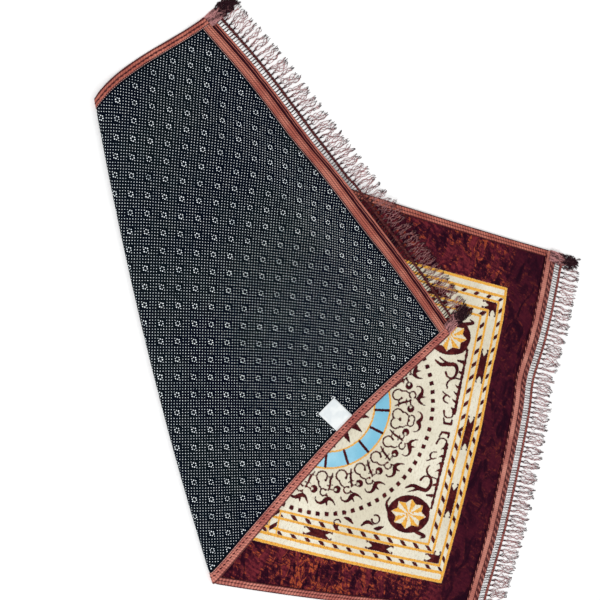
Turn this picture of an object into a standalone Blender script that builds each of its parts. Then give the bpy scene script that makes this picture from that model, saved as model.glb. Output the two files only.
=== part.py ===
"""A plush prayer rug, folded over itself on a slant and lying on the floor.

The rug is a pile cloth on a dotted backing, with ribbed bindings round its four edges and a
fringe trim sewn across each end. All pieces are drawn flat, in the rug's own measures:
  u runs along the rug, from the outer edge of heading tape A (0) to that of heading tape B,
  v runs across it, from one side (0) to the other,
  h is the height through the rug, from the outer face of the backing towards the pile.
lay() then puts each flat point where it lies on the folded rug.
Units are metres, +Z is up, and the floor is at z = 0.
"""
import math

import bmesh
import bpy
from mathutils import Vector
from mathutils.geometry import delaunay_2d_cdt

for old_object in list(bpy.data.objects):
    bpy.data.objects.remove(old_object, do_unlink=True)

MM = 0.001

# ---------------------------------------------------------------------------
# The rug as it is cut and sewn
# ---------------------------------------------------------------------------
WIDTH = 700 * MM             # over the side bindings
LENGTH = 1140 * MM           # over the two heading tapes
TAPE_OUT = 8 * MM            # a heading tape stands this far out past the cloth
BODY_START = TAPE_OUT
BODY_END = LENGTH - TAPE_OUT

SIDE_LEG = (17 * MM, 14 * MM)    # how far a side binding reaches over the back, over the pile
END_LEG = (13 * MM, 13 * MM)     # the same for an end binding
BINDING_HEIGHT = 5.2 * MM        # over both legs
BINDING_THICK = 1.0 * MM
GAP = 0.3 * MM                   # between neighbouring pieces
CUT_EDGE = BINDING_THICK + 2 * GAP    # the cloth's cut edge, inside a binding
PRESSED = 6 * MM                 # width over which the cloth thins towards a binding

# the rounded outer edge of a binding: distance in as a share of its thickness, and height as a
# share of its own
ROUNDED = [(0.0, 0.30), (0.45, 0.08), (1.3, 0.0)]

# heights through the rug, in the open cloth and where a binding presses it
BACKING_LOW = (0.0, 1.3 * MM)
BACKING_HIGH = (1.0 * MM, 2.1 * MM)
PILE_LOW = (1.3 * MM, 2.4 * MM)
PILE_HIGH = (4.3 * MM, 3.9 * MM)

# ---------------------------------------------------------------------------
# How the rug lies
# ---------------------------------------------------------------------------
FOLD_U_TOP = 900 * MM        # where the fold crosses the side v = 0
FOLD_U_BOTTOM = 522 * MM     # where it crosses the side v = WIDTH
BARREL = 10.6 * MM           # the rug is this much wider, on each side, at mid length
BEND = 7 * MM                # radius of the backing round the fold

# how each edge bows out from the straight line between its corners: how far, how much the bow
# leans towards the edge's first corner, and how narrow it is
BOWS = dict(
    fold=dict(out=12.9 * MM, lean=0.0, narrow=1),
    end_a=dict(out=3.4 * MM, lean=1.2, narrow=1),
    lower_top=dict(out=-7.8 * MM, lean=0.0, narrow=1),
    lower_bottom=dict(out=6.6 * MM, lean=0.0, narrow=1),
    end_b=dict(out=13.4 * MM, lean=0.0, narrow=1),
    upper_top=dict(out=8.0 * MM, lean=1.2, narrow=1),
    upper_bottom=dict(out=-12.5 * MM, lean=-0.3, narrow=2),
)

SETTLE = 70 * MM             # the upper layer comes down over this distance from the fold
UPPER_ON_RUG = 10.1 * MM     # height of the upper layer's backing over the lower layer
UPPER_ON_EDGE = 12.6 * MM    # and where it rides over the lower layer's side binding
UPPER_ON_FLOOR = 5.2 * MM    # and past that, on the floor
TAPE_LIFT = 1.3 * MM         # heading tape B holds its end of the cloth up by this much
LIFT_FROM = 50 * MM          # the cloth rises towards it from this far inside the end
LIFT_OVER = 30 * MM
STEP = 60 * MM               # width of the slope down to the floor
EDGE_CLEAR = 4 * MM          # the slope starts this far outside the lower layer

# soft swells of the upper layer: distance from the fold and place along it (both in metres),
# half-widths across and along the swell, and its height
SWELL_EASE = 30 * MM         # they begin softly over this distance past the bend
SWELLS = [
    dict(out=0.055, along=0.20, wide=0.040, long=0.120, high=2.4 * MM),
    dict(out=0.090, along=0.47, wide=0.050, long=0.150, high=2.0 * MM),
    dict(out=0.050, along=0.68, wide=0.035, long=0.090, high=2.6 * MM),
    dict(out=0.230, along=0.36, wide=0.070, long=0.160, high=1.4 * MM),
    dict(out=0.360, along=0.60, wide=0.060, long=0.130, high=1.5 * MM),
]

# ---------------------------------------------------------------------------
# The fringe trim: heading tape, open ladder, chain line, then the strands
# ---------------------------------------------------------------------------
TAPE_IN = 13 * MM            # the tape reaches this far in over the end binding
LADDER_END = 21 * MM         # distances out from the end binding's edge
CHAIN_END = 24.5 * MM
FALL_END = 24 * MM           # the trim lies on the ground from here on
TAPE_NEAR = BINDING_HEIGHT + GAP
TAPE_THICK = 1.0 * MM
CORD_THICK = 1.8 * MM        # chain line and strands
STRAND_COUNT = 69
STRAND_WIDTH = 2.4 * MM
STRAND_LENGTH = 36 * MM
STRAND_PIECES = (2, 3)       # straight pieces in a strand of trim A, of trim B
STRAND_SWAY = 2.2 * MM       # how far a strand's tip may lie to one side
TUFT_WIDTH = 20 * MM         # at each corner the trim's turned end makes a thick tuft
TUFT_STRANDS = 4
TUFT_SLIT = 0.9 * MM
TUFT_THICK = 4.5 * MM
TUFT_LENGTH = 44 * MM
TUFT_UNEVEN = 4 * MM         # every other strand of a tuft is shorter by this much
TUFT_SPREAD = 1.5 * MM       # and their tips spread this far from one to the next
TUFT_GAP = 5 * MM            # clear width from a tuft to the middle of the first strand
UNEVEN = 0.05                # strand lengths differ by this share either way
TIP_NARROW = 0.55            # a strand loses this share of its width towards the tip
TIP_THIN = 0.35              # and this share of its thickness

GROUND_RUG = 4.9 * MM        # strands lie this high on the lower layer's pile
GROUND_EDGE = 7.4 * MM       # and this high where they cross its side binding
CLIMB = (18 * MM, 12 * MM)   # they climb from this far outside the lower layer, over this width
DROP = (2 * MM, 16 * MM)     # they come down from this far inside its binding, over this width

# ---------------------------------------------------------------------------
# The label, on the backing beside a side binding
# ---------------------------------------------------------------------------
LABEL_U = 850 * MM
LABEL_WIDTH = 39 * MM
LABEL_LENGTH = 46 * MM
LABEL_SKEW = -5 * MM
LABEL_THICK = 0.6 * MM
LABEL_ROWS = 4

# ---------------------------------------------------------------------------
# How close together the points are that the pieces are built on
# ---------------------------------------------------------------------------
CLOTH_PITCH = 75 * MM        # over the cloth
STRAIGHT_PITCH = 70 * MM     # along edges that lie flat
EDGE_PITCH = 50 * MM         # along the other edges
SLOPE_PITCH = 10 * MM        # where an edge leaves the bend or crosses the slope to the floor
BEND_ROWS = 8                # strips round the fold's bend
BEND_EASE = 70 * MM          # a binding's points turn square to its side over this distance
SLOPE_ROWS = 5               # strips down the slope
SETTLE_ROWS = (28 * MM, 55 * MM, 85 * MM, 130 * MM)   # lines of points past the bend
GRID_FROM = 170 * MM         # past this distance from the fold they are a plain grid
GRID_MARGIN = 60 * MM        # which stays this far inside the cloth's edges
PAST_CORNER = 120 * MM       # the slope's lines run on past the upper layer's corner
MERGE = 0.8 * MM             # points closer than this are one
TINY = 0.01 * MM

# plan position of the middle of the laid rug's box, before it is moved to the origin
PLAN_MIDDLE = (-0.41895, -0.22836)


def smooth(x):
    """Goes softly from 0 to 1 while x goes from 0 to 1."""
    x = min(1.0, max(0.0, x))
    return x * x * (3.0 - 2.0 * x)


def mix(a, b, x):
    return a + (b - a) * x


# ---------------------------------------------------------------------------
# Plan of the laid rug
# ---------------------------------------------------------------------------
def barrel(u):
    """Extra half-width of the rug at u."""
    return BARREL * 4 * (u / LENGTH) * (1 - u / LENGTH)


def mirrored(point, start, end):
    """The point turned over the line from start to end."""
    along = (end - start).normalized()
    offset = point - start
    return start + 2 * offset.dot(along) * along - offset


FOLD_TOP = Vector((-FOLD_U_TOP, barrel(FOLD_U_TOP)))
FOLD_BOTTOM = Vector((-FOLD_U_BOTTOM, -WIDTH - barrel(FOLD_U_BOTTOM)))
A_TOP = Vector((0.0, 0.0))
A_BOTTOM = Vector((0.0, -WIDTH))
B_TOP = mirrored(Vector((-LENGTH, 0.0)), FOLD_TOP, FOLD_BOTTOM)
B_BOTTOM = mirrored(Vector((-LENGTH, -WIDTH)), FOLD_TOP, FOLD_BOTTOM)


def bowed(edge, start, end, side):
    """A function of 0..1 that runs from start to end with the bow of the named edge."""
    bow = BOWS[edge]
    along = (end - start).normalized()
    out = Vector((-along.y, along.x)) * side * bow["out"]

    def at(t):
        hump = 4 * t * (1 - t)
        if bow["narrow"] > 1:
            hump *= abs(hump)
        return start.lerp(end, t) + out * hump * (1 + bow["lean"] * (1 - 2 * t))
    return at


def patch(fold, end, top, bottom):
    """A function of (s, t) that fills the four bowed edges; s leaves the fold, t leaves the top."""
    def at(s, t):
        across = fold(t) * (1 - s) + end(t) * s
        along = top(s) * (1 - t) + bottom(s) * t
        first = fold(0) * (1 - t) + fold(1) * t
        last = end(0) * (1 - t) + end(1) * t
        return across + along - (first * (1 - s) + last * s)
    return at


fold_edge = bowed("fold", FOLD_TOP, FOLD_BOTTOM, -1)
lower_top_edge = bowed("lower_top", FOLD_TOP, A_TOP, 1)
lower_plan = patch(fold_edge,
                   bowed("end_a", A_TOP, A_BOTTOM, 1),
                   lower_top_edge,
                   bowed("lower_bottom", FOLD_BOTTOM, A_BOTTOM, -1))
upper_plan = patch(fold_edge,
                   bowed("end_b", B_TOP, B_BOTTOM, 1),
                   bowed("upper_top", FOLD_TOP, B_TOP, 1),
                   bowed("upper_bottom", FOLD_BOTTOM, B_BOTTOM, -1))

SLANT = WIDTH / math.hypot(WIDTH, FOLD_U_TOP - FOLD_U_BOTTOM)
HALF_ARC = BEND * math.pi / 2


def fold_at(v):
    """u of the fold line at v."""
    return mix(FOLD_U_TOP, FOLD_U_BOTTOM, v / WIDTH)


def from_fold(u, v):
    """Distance from the fold line, square to it, on the flat rug; the upper layer is positive."""
    return (u - fold_at(v)) * SLANT


def inside_lower_top(x, y):
    """How far a plan point lies inside the lower layer's top side."""
    t = (x - FOLD_TOP.x) / (A_TOP.x - FOLD_TOP.x)
    return lower_top_edge(t).y - y


def plan_of(u, v):
    """Plan point of the flat point (u, v)."""
    distance = abs(from_fold(u, v))
    if distance < HALF_ARC:
        inset = BEND * (1 - math.cos(distance / BEND))
    else:
        inset = distance - HALF_ARC + BEND
    if u > fold_at(v):
        layer, reach = upper_plan, (LENGTH - fold_at(v)) * SLANT
    else:
        layer, reach = lower_plan, fold_at(v) * SLANT
    s = (inset + (HALF_ARC - BEND) * distance / reach) / reach
    return layer(s, v / WIDTH)


def swell_height(u, v):
    """Height of the soft swells at a point of the upper layer."""
    out = from_fold(u, v)
    along = v / SLANT + (u - fold_at(v)) * math.sqrt(1 - SLANT * SLANT)
    total = 0.0
    for swell in SWELLS:
        across = (out - swell["out"]) / swell["wide"]
        length = (along - swell["along"]) / swell["long"]
        total += swell["high"] * math.exp(-across * across - length * length)
    return total * smooth((out - HALF_ARC) / SWELL_EASE)


def upper_height(u, v, x, y):
    """Height of the upper layer's backing, past the bend."""
    inside = inside_lower_top(x, y)
    height = mix(UPPER_ON_FLOOR, UPPER_ON_EDGE, smooth((inside + EDGE_CLEAR + STEP) / STEP))
    height -= (UPPER_ON_EDGE - UPPER_ON_RUG) * smooth((inside - SIDE_LEG[1] - EDGE_CLEAR) / STEP)
    height += TAPE_LIFT * smooth((u - BODY_END + LIFT_FROM) / LIFT_OVER)
    settled = smooth((from_fold(u, v) - HALF_ARC) / SETTLE)
    return mix(2 * BEND, height, settled) + swell_height(u, v)


def surface(u, v):
    """Where the outer face of the backing lies."""
    plan = plan_of(u, v)
    distance = from_fold(u, v)
    if distance <= -HALF_ARC:
        z = 0.0
    elif distance < HALF_ARC:
        z = BEND * (1 + math.sin(distance / BEND))
    else:
        z = upper_height(u, v, plan.x, plan.y)
    return Vector((plan.x - PLAN_MIDDLE[0], plan.y - PLAN_MIDDLE[1], z))


def lay(u, v, h):
    """Where the point (u, v, h) of the flat rug lies."""
    step = 0.4 * MM
    along = surface(u + step, v) - surface(u - step, v)
    across = surface(u, v + step) - surface(u, v - step)
    return surface(u, v) + along.cross(across).normalized() * h


def flat_of(x, y):
    """The flat point of the upper layer that lies over the plan point (x, y)."""
    target = Vector((x, y))
    guess = mirrored(target, FOLD_TOP, FOLD_BOTTOM)
    u, v = -guess.x, -guess.y
    for _ in range(8):
        miss = target - plan_of(u, v)
        turned = mirrored(FOLD_TOP + miss, FOLD_TOP, FOLD_BOTTOM) - FOLD_TOP
        u -= turned.x
        v -= turned.y
    return u, v


# ---------------------------------------------------------------------------
# Making closed solids
# ---------------------------------------------------------------------------
def material(name, colour, roughness):
    """A plain finish of one colour."""
    made = bpy.data.materials.new(name)
    made.use_nodes = True
    shader = made.node_tree.nodes["Principled BSDF"]
    shader.inputs["Base Color"].default_value = (*colour, 1.0)
    shader.inputs["Roughness"].default_value = roughness
    shader.inputs["Metallic"].default_value = 0.0
    return made


def add_object(name, points, faces, finish):
    """Makes a closed object from points and faces, with its faces turned outwards."""
    mesh = bpy.data.meshes.new(name)
    mesh.from_pydata([tuple(point) for point in points], [], faces)
    shape = bmesh.new()
    shape.from_mesh(mesh)
    bmesh.ops.triangulate(shape, faces=shape.faces[:])
    bmesh.ops.recalc_face_normals(shape, faces=shape.faces[:])
    shape.to_mesh(mesh)
    shape.free()
    mesh.shade_smooth()
    mesh.set_sharp_from_angle(angle=math.radians(40))
    mesh.materials.append(finish)
    made = bpy.data.objects.new(name, mesh)
    bpy.context.scene.collection.objects.link(made)
    return made


def slab(name, near, far, cells, finish):
    """Closes two faces, given point by point, over the same cells with walls round the rim."""
    count = len(near)
    faces = [list(cell) for cell in cells]
    faces += [[index + count for index in reversed(cell)] for cell in cells]
    sides = set()
    for cell in cells:
        for first, second in zip(cell, cell[1:] + cell[:1]):
            sides.add((first, second))
    for first, second in sorted(sides):
        if (second, first) not in sides:
            faces.append([second, first, first + count, second + count])
    return add_object(name, near + far, faces, finish)


def loft(name, sections, finish):
    """Joins closed sections, all with the same number of points, and caps both ends."""
    points = [point for section in sections for point in section]
    size = len(sections[0])
    faces = []
    for row in range(len(sections) - 1):
        for k in range(size):
            here = row * size + k
            beside = row * size + (k + 1) % size
            faces.append([here, beside, beside + size, here + size])
    last = (len(sections) - 1) * size
    faces.append(list(range(size))[::-1])
    faces.append([last + k for k in range(size)])
    return add_object(name, points, faces, finish)


def spaced(start, end, pitch):
    """Evenly spaced values from start to end, no further apart than pitch."""
    count = max(1, math.ceil((end - start) / pitch))
    return [mix(start, end, k / count) for k in range(count + 1)]


# ---------------------------------------------------------------------------
# Where the pieces need points: along the sides, round the bend and down the slope
# ---------------------------------------------------------------------------
def lift_rows():
    """Where the cloth rises towards heading tape B."""
    return spaced(BODY_END - LIFT_FROM, BODY_END - LIFT_FROM + LIFT_OVER, LIFT_OVER / 2)


def side_line(side, inset):
    """Flat points along a side (0 or WIDTH), set in from it, close together round the bend.

    Across the width of a binding the points run along the fold at the bend, and turn square
    to the side away from it.
    """
    v = abs(side - inset)
    half = HALF_ARC / SLANT
    first, last = fold_at(side) - half, fold_at(side) + half
    values = spaced(BODY_START, first, STRAIGHT_PITCH)
    values += spaced(first, last, 2 * half / BEND_ROWS)[1:]
    values += spaced(last, last + BEND_EASE, SLOPE_PITCH)[1:]
    values += spaced(last + BEND_EASE, BODY_END - LIFT_FROM, EDGE_PITCH)[1:]
    values += lift_rows()[1:] + [BODY_END]
    points = []
    for u in values:
        beyond = max(0.0, abs(u - fold_at(side)) - half)
        lean = max(0.0, 1.0 - beyond / BEND_EASE)
        points.append((u + lean * (fold_at(v) - fold_at(side)), v))
    return points


def end_stations(slope):
    """Places along an end, close together where it crosses the slope to the floor."""
    first, last = SIDE_LEG[0] + GAP, WIDTH - SIDE_LEG[0] - GAP
    if slope is None:
        return spaced(first, last, STRAIGHT_PITCH)
    return (spaced(first, slope[0], EDGE_PITCH)
            + spaced(slope[0], slope[1], SLOPE_PITCH)[1:]
            + spaced(slope[1], last, EDGE_PITCH)[1:])


def slope_distances():
    """Distances inside the lower layer's top side at which the upper layer changes its slope."""
    outer = spaced(-EDGE_CLEAR - STEP, -EDGE_CLEAR, STEP / SLOPE_ROWS)
    inner = spaced(SIDE_LEG[1] + EDGE_CLEAR, SIDE_LEG[1] + EDGE_CLEAR + STEP, STEP / 2)
    return outer + inner


def slope_line(inside):
    """Flat points of the upper layer that lie at one distance inside the lower top side."""
    points = []
    for x in spaced(FOLD_TOP.x, B_BOTTOM.x + PAST_CORNER, CLOTH_PITCH):
        y = lower_top_edge((x - FOLD_TOP.x) / (A_TOP.x - FOLD_TOP.x)).y - inside
        points.append(flat_of(x, y))
    return points


def crossing(line, u):
    """v at which a line of flat points passes u."""
    for (u0, v0), (u1, v1) in zip(line, line[1:]):
        if (u0 - u) * (u1 - u) <= 0 and u0 != u1:
            return mix(v0, v1, (u - u0) / (u1 - u0))
    raise ValueError("the slope doesn't reach the end")


SLOPE_LINES = [slope_line(inside) for inside in slope_distances()]
END_B_SLOPE = sorted((crossing(SLOPE_LINES[0], BODY_END - END_LEG[0] / 2),
                      crossing(SLOPE_LINES[-1], BODY_END - END_LEG[0] / 2)))


# ---------------------------------------------------------------------------
# The two cloths: one flat net of triangles, used for both faces of both
# ---------------------------------------------------------------------------
def cloth_net():
    """Flat points and triangles of the cloth, with rows along every place where it bends."""
    points = []
    links = []

    def inside(u, v):
        return (BODY_START + CUT_EDGE <= u <= BODY_END - CUT_EDGE
                and CUT_EDGE <= v <= WIDTH - CUT_EDGE)

    def add_line(line):
        kept = [p for p in line if inside(*p)]
        first = len(points)
        points.extend(kept)
        links.extend((k, k + 1) for k in range(first, first + len(kept) - 1))

    near, far = BODY_START + CUT_EDGE, BODY_END - CUT_EDGE
    across = spaced(CUT_EDGE, WIDTH - CUT_EDGE, CLOTH_PITCH)
    for offset in (CUT_EDGE, SIDE_LEG[0] + 2 * GAP, SIDE_LEG[0] + 2 * GAP + PRESSED):
        for side in (0.0, WIDTH):
            v = abs(side - offset)
            add_line([(near, v)] + side_line(side, offset)[1:-1] + [(far, v)])
    for offset in (CUT_EDGE, END_LEG[0] + 2 * GAP, END_LEG[0] + 2 * GAP + PRESSED):
        add_line([(BODY_START + offset, v)
                  for v in [CUT_EDGE] + end_stations(None) + [WIDTH - CUT_EDGE]])
        add_line([(BODY_END - offset, v)
                  for v in [CUT_EDGE] + end_stations(END_B_SLOPE) + [WIDTH - CUT_EDGE]])
    for u in lift_rows():
        add_line([(u, v) for v in across])
    for row in range(BEND_ROWS + 1):
        shift = mix(-HALF_ARC, HALF_ARC, row / BEND_ROWS) / SLANT
        add_line([(fold_at(v) + shift, v) for v in across])
    for out in SETTLE_ROWS:
        shift = (HALF_ARC + out) / SLANT
        add_line([(fold_at(v) + shift, v) for v in across])
    for line in SLOPE_LINES:
        add_line(line)
    for u in spaced(FOLD_U_BOTTOM, BODY_END - GRID_MARGIN, CLOTH_PITCH):
        for v in spaced(GRID_MARGIN, WIDTH - GRID_MARGIN, CLOTH_PITCH):
            if from_fold(u, v) > GRID_FROM:
                points.append((u, v))
    result = delaunay_2d_cdt([Vector(p) for p in points], links, [], 0, MERGE)
    return [tuple(p) for p in result[0]], [list(face) for face in result[2]]


def pressed(u, v):
    """1 where a binding presses the cloth, and 0 in the open cloth."""
    side = min(v, WIDTH - v) - SIDE_LEG[0] - 2 * GAP
    end = min(u - BODY_START, BODY_END - u) - END_LEG[0] - 2 * GAP
    return 1 - smooth((min(side, end) + TINY) / PRESSED)


def cloth(name, net, low, high, finish):
    flat_points, triangles = net
    near = [lay(u, v, mix(*low, pressed(u, v))) for u, v in flat_points]
    far = [lay(u, v, mix(*high, pressed(u, v))) for u, v in flat_points]
    return slab(name, near, far, triangles, finish)


# ---------------------------------------------------------------------------
# Bindings
# ---------------------------------------------------------------------------
def binding_profile(leg):
    """Section of a binding as (distance in from the edge, height), round at its outer edge."""
    back, face = leg
    top, inner = BINDING_HEIGHT, BINDING_THICK
    low = [(inward * inner, high * top) for inward, high in ROUNDED]
    high = [(inward, top - height) for inward, height in reversed(low)]
    pocket = [(back, 0), (back, inner), (inner, inner),
              (inner, top - inner), (face, top - inner), (face, top)]
    return low + pocket + high


def side_binding(name, at_bottom, finish):
    side = WIDTH if at_bottom else 0.0
    rails = [[lay(u, v, height) for u, v in side_line(side, inset)]
             for inset, height in binding_profile(SIDE_LEG)]
    return loft(name, [list(section) for section in zip(*rails)], finish)


def end_binding(name, at_b, finish):
    sections = []
    for v in end_stations(END_B_SLOPE if at_b else None):
        section = []
        for inset, height in binding_profile(END_LEG):
            section.append(lay(BODY_END - inset if at_b else BODY_START + inset, v, height))
        sections.append(section)
    return loft(name, sections, finish)


# ---------------------------------------------------------------------------
# Fringe trims
# ---------------------------------------------------------------------------
def ground(x, y):
    """Height on which loose strands lie: the floor, the lower layer's edge, or its pile."""
    inside = inside_lower_top(x + PLAN_MIDDLE[0], y + PLAN_MIDDLE[1])
    rise = smooth((inside + CLIMB[0]) / CLIMB[1])
    settle = smooth((inside - SIDE_LEG[1] - DROP[0]) / DROP[1])
    return mix(0.0, GROUND_EDGE, rise) - (GROUND_EDGE - GROUND_RUG) * settle


def trim_point(at_b, out, v, thick, upper):
    """A point of a trim, out past the end binding's edge; upper picks its higher face."""
    u = BODY_END + out if at_b else BODY_START - out
    if out <= TAPE_OUT:
        near_face = upper if at_b else not upper
        return lay(u, v, TAPE_NEAR if near_face else TAPE_NEAR + TAPE_THICK)
    edge_u = BODY_END + TAPE_OUT if at_b else BODY_START - TAPE_OUT
    start = lay(edge_u, v, TAPE_NEAR + TAPE_THICK if at_b else TAPE_NEAR).z
    place = surface(u, v)
    floor = ground(place.x, place.y) if at_b else 0.0
    low = mix(start, floor, smooth((out - TAPE_OUT) / (FALL_END - TAPE_OUT)))
    return Vector((place.x, place.y, low + (thick if upper else 0.0)))


def strand_table():
    """Each strand: where it stands along the end, its half-width, thickness, length and sway."""
    pitch = TUFT_WIDTH / TUFT_STRANDS
    tuft = [dict(v=pitch * (k + 0.5), half=(pitch - TUFT_SLIT) / 2, thick=TUFT_THICK,
                 length=TUFT_LENGTH - TUFT_UNEVEN * (k % 2),
                 sway=TUFT_SPREAD * (k - (TUFT_STRANDS - 1) / 2))
            for k in range(TUFT_STRANDS)]
    first = TUFT_WIDTH + TUFT_GAP
    strands = []
    for k in range(STRAND_COUNT):
        # waves that are out of step with each other make the strands uneven
        turn = 2.4 * k + 0.9 * math.sin(1.7 * k)
        strands.append(dict(v=mix(first, WIDTH - first, k / (STRAND_COUNT - 1)),
                            half=STRAND_WIDTH / 2, thick=CORD_THICK,
                            length=STRAND_LENGTH * (1 + UNEVEN * math.sin(3.1 * k)),
                            sway=STRAND_SWAY * math.sin(turn)))
    turned = [dict(row, v=WIDTH - row["v"], sway=-row["sway"]) for row in reversed(tuft)]
    return tuft + strands + turned


def fringe_trim(name, at_b, finish):
    """One flat piece: a tape, a ladder with open gaps, a chain line, and free strands."""
    strands = strand_table()
    low, high, cells = [], [], []

    def point(out, v, thick):
        low.append(trim_point(at_b, out, v, thick, False))
        high.append(trim_point(at_b, out, v, thick, True))
        return len(low) - 1

    def row(out, thick_of):
        return [(point(out, s["v"] - s["half"], thick_of(s)),
                 point(out, s["v"] + s["half"], thick_of(s))) for s in strands]

    edges = ([strands[0]["v"] - strands[0]["half"]]
             + [(a["v"] + b["v"]) / 2 for a, b in zip(strands, strands[1:])]
             + [strands[-1]["v"] + strands[-1]["half"]])
    tape_in = [point(-TAPE_IN, v, TAPE_THICK) for v in edges]
    if at_b:
        tape_middle = [point(-BINDING_THICK, v, TAPE_THICK) for v in edges]
        for k in range(len(strands)):
            cells.append([tape_in[k], tape_middle[k], tape_middle[k + 1], tape_in[k + 1]])
        tape_in = tape_middle
    tape_out = row(TAPE_OUT, lambda s: TAPE_THICK)
    pieces = STRAND_PIECES[at_b]
    chain_in = row(LADDER_END, lambda s: s["thick"])
    chain_out = row(CHAIN_END, lambda s: s["thick"])

    for k, strand in enumerate(strands):
        left, right = tape_out[k]
        tape = [tape_in[k], left, right, tape_in[k + 1]]
        cells.append([chain_in[k][0], chain_out[k][0], chain_out[k][1], chain_in[k][1]])
        cells.append([left, chain_in[k][0], chain_in[k][1], right])
        if k < len(strands) - 1:
            beside = tape_out[k + 1][0]
            tape.insert(3, beside)
            cells.append([chain_in[k][1], chain_out[k][1], chain_out[k + 1][0], chain_in[k + 1][0]])
            in_tuft = strand["thick"] == TUFT_THICK and strands[k + 1]["thick"] == TUFT_THICK
            if in_tuft:
                cells.append([right, chain_in[k][1], chain_in[k + 1][0], beside])
        cells.append(tape)
        before = chain_out[k]
        for piece in range(1, pieces + 1):
            part = piece / pieces
            out = CHAIN_END + strand["length"] * part
            middle = strand["v"] + strand["sway"] * part * part
            half = strand["half"] * (1 - TIP_NARROW * part * part)
            thick = strand["thick"] * (1 - TIP_THIN * part)
            after = (point(out, middle - half, thick), point(out, middle + half, thick))
            cells.append([before[0], after[0], after[1], before[1]])
            before = after
    return slab(name, low, high, cells, finish)


# ---------------------------------------------------------------------------
# Label
# ---------------------------------------------------------------------------
def label(name, finish):
    """A small plain tab on the backing, starting beside the side binding."""
    near, far, cells = [], [], []
    for k in range(LABEL_ROWS + 1):
        part = k / LABEL_ROWS
        v = WIDTH - SIDE_LEG[0] - 2 * GAP - LABEL_LENGTH * part
        for u in (LABEL_U, LABEL_U + LABEL_WIDTH):
            near.append(lay(u + LABEL_SKEW * part, v, -GAP - LABEL_THICK))
            far.append(lay(u + LABEL_SKEW * part, v, -GAP))
        if k:
            cells.append([2 * k - 2, 2 * k - 1, 2 * k + 1, 2 * k])
    return slab(name, near, far, cells, finish)


# ---------------------------------------------------------------------------
# The rug
# ---------------------------------------------------------------------------
backing_felt = material("backing_felt", (0.018, 0.030, 0.032), 0.9)
wine_plush = material("wine_plush", (0.115, 0.018, 0.016), 0.75)
ribbed_binding = material("ribbed_binding", (0.42, 0.13, 0.10), 0.8)
fringe_yarn = material("fringe_yarn", (0.16, 0.055, 0.045), 0.7)
label_cloth = material("label_cloth", (0.80, 0.80, 0.78), 0.8)

net = cloth_net()
cloth("backing", net, BACKING_LOW, BACKING_HIGH, backing_felt)
cloth("pile_cloth", net, PILE_LOW, PILE_HIGH, wine_plush)
side_binding("side_binding_top", False, ribbed_binding)
side_binding("side_binding_bottom", True, ribbed_binding)
end_binding("end_binding_a", False, ribbed_binding)
end_binding("end_binding_b", True, ribbed_binding)
fringe_trim("fringe_trim_a", False, fringe_yarn)
fringe_trim("fringe_trim_b", True, fringe_yarn)
label("label", label_cloth)
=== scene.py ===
# %% [markdown]
# This file dresses a plush prayer rug that lies on the floor, folded over itself on a slant. The
# imported model gives its plain solids, and every visible piece is made again here, finer, in the
# same place.

# %% Load the imported rug
import math

import bmesh
import bpy
import numpy as np
from mathutils import Matrix, Vector


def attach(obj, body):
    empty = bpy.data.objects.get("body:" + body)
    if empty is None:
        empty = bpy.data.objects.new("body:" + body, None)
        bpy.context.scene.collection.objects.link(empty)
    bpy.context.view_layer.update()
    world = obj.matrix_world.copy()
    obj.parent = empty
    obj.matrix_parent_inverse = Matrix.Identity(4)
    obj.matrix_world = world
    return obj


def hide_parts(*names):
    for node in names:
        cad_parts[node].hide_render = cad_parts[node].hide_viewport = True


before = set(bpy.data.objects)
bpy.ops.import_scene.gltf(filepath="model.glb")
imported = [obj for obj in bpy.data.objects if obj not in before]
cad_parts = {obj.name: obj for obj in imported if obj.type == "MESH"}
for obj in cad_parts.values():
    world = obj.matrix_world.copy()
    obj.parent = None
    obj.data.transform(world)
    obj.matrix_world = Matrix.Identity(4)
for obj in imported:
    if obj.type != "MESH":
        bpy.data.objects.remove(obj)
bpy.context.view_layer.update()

print("solids:", sorted(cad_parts))

# %% [markdown]
# The camera stands above the rug and looks down at a slant, as in the photograph. It could be
# turned by three angles, but its three axes were worked out from the rug's corners in the
# picture, so they go straight into its matrix. Turning each axis square to the one before makes
# sure that they are at right angles.

# %% Camera
CAMERA_PLACE = Vector((-0.56395, -0.09324, 1.3728))
CAMERA_RIGHT = Vector((0.909, 0.2306, 0.3471))
CAMERA_LOOK = Vector((0.3398, 0.0721, -0.9377))
LENS_MM = 51.0


def add_object(name, data):
    """Puts a mesh, a lamp or the camera into the scene."""
    made = bpy.data.objects.new(name, data)
    bpy.context.scene.collection.objects.link(made)
    return made


look = CAMERA_LOOK.normalized()
right = (CAMERA_RIGHT - look * CAMERA_RIGHT.dot(look)).normalized()
camera = add_object("camera", bpy.data.cameras.new("camera"))
camera.data.lens, camera.data.sensor_width = LENS_MM, 36.0
camera.data.clip_start, camera.data.clip_end = 0.01, 50.0
turned = Matrix((right, right.cross(look), -look)).transposed().to_4x4()
camera.matrix_world = Matrix.Translation(CAMERA_PLACE) @ turned
bpy.context.scene.camera = camera
print("camera is", round(CAMERA_PLACE.z, 3), "m above the floor")

# %% [markdown]
# Every piece is drawn on the flat rug first: u runs along it from the outer edge of one end
# tape, v runs across it, and h is the height through it, from the backing's outer face towards
# the pile. The same rule then lays each point where it belongs on the folded rug. The values
# are those of the solids, so the pieces need no fitting.

# %% Sizes of the flat rug
MM = 0.001


def mm(*lengths):
    """Millimetres, as Blender wants them in metres."""
    return tuple(length * MM for length in lengths)


WIDTH, LENGTH, TAPE_OUT = mm(700, 1140, 8)     # an end tape stands TAPE_OUT past the cloth
BODY_START, BODY_END = TAPE_OUT, LENGTH - TAPE_OUT
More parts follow.
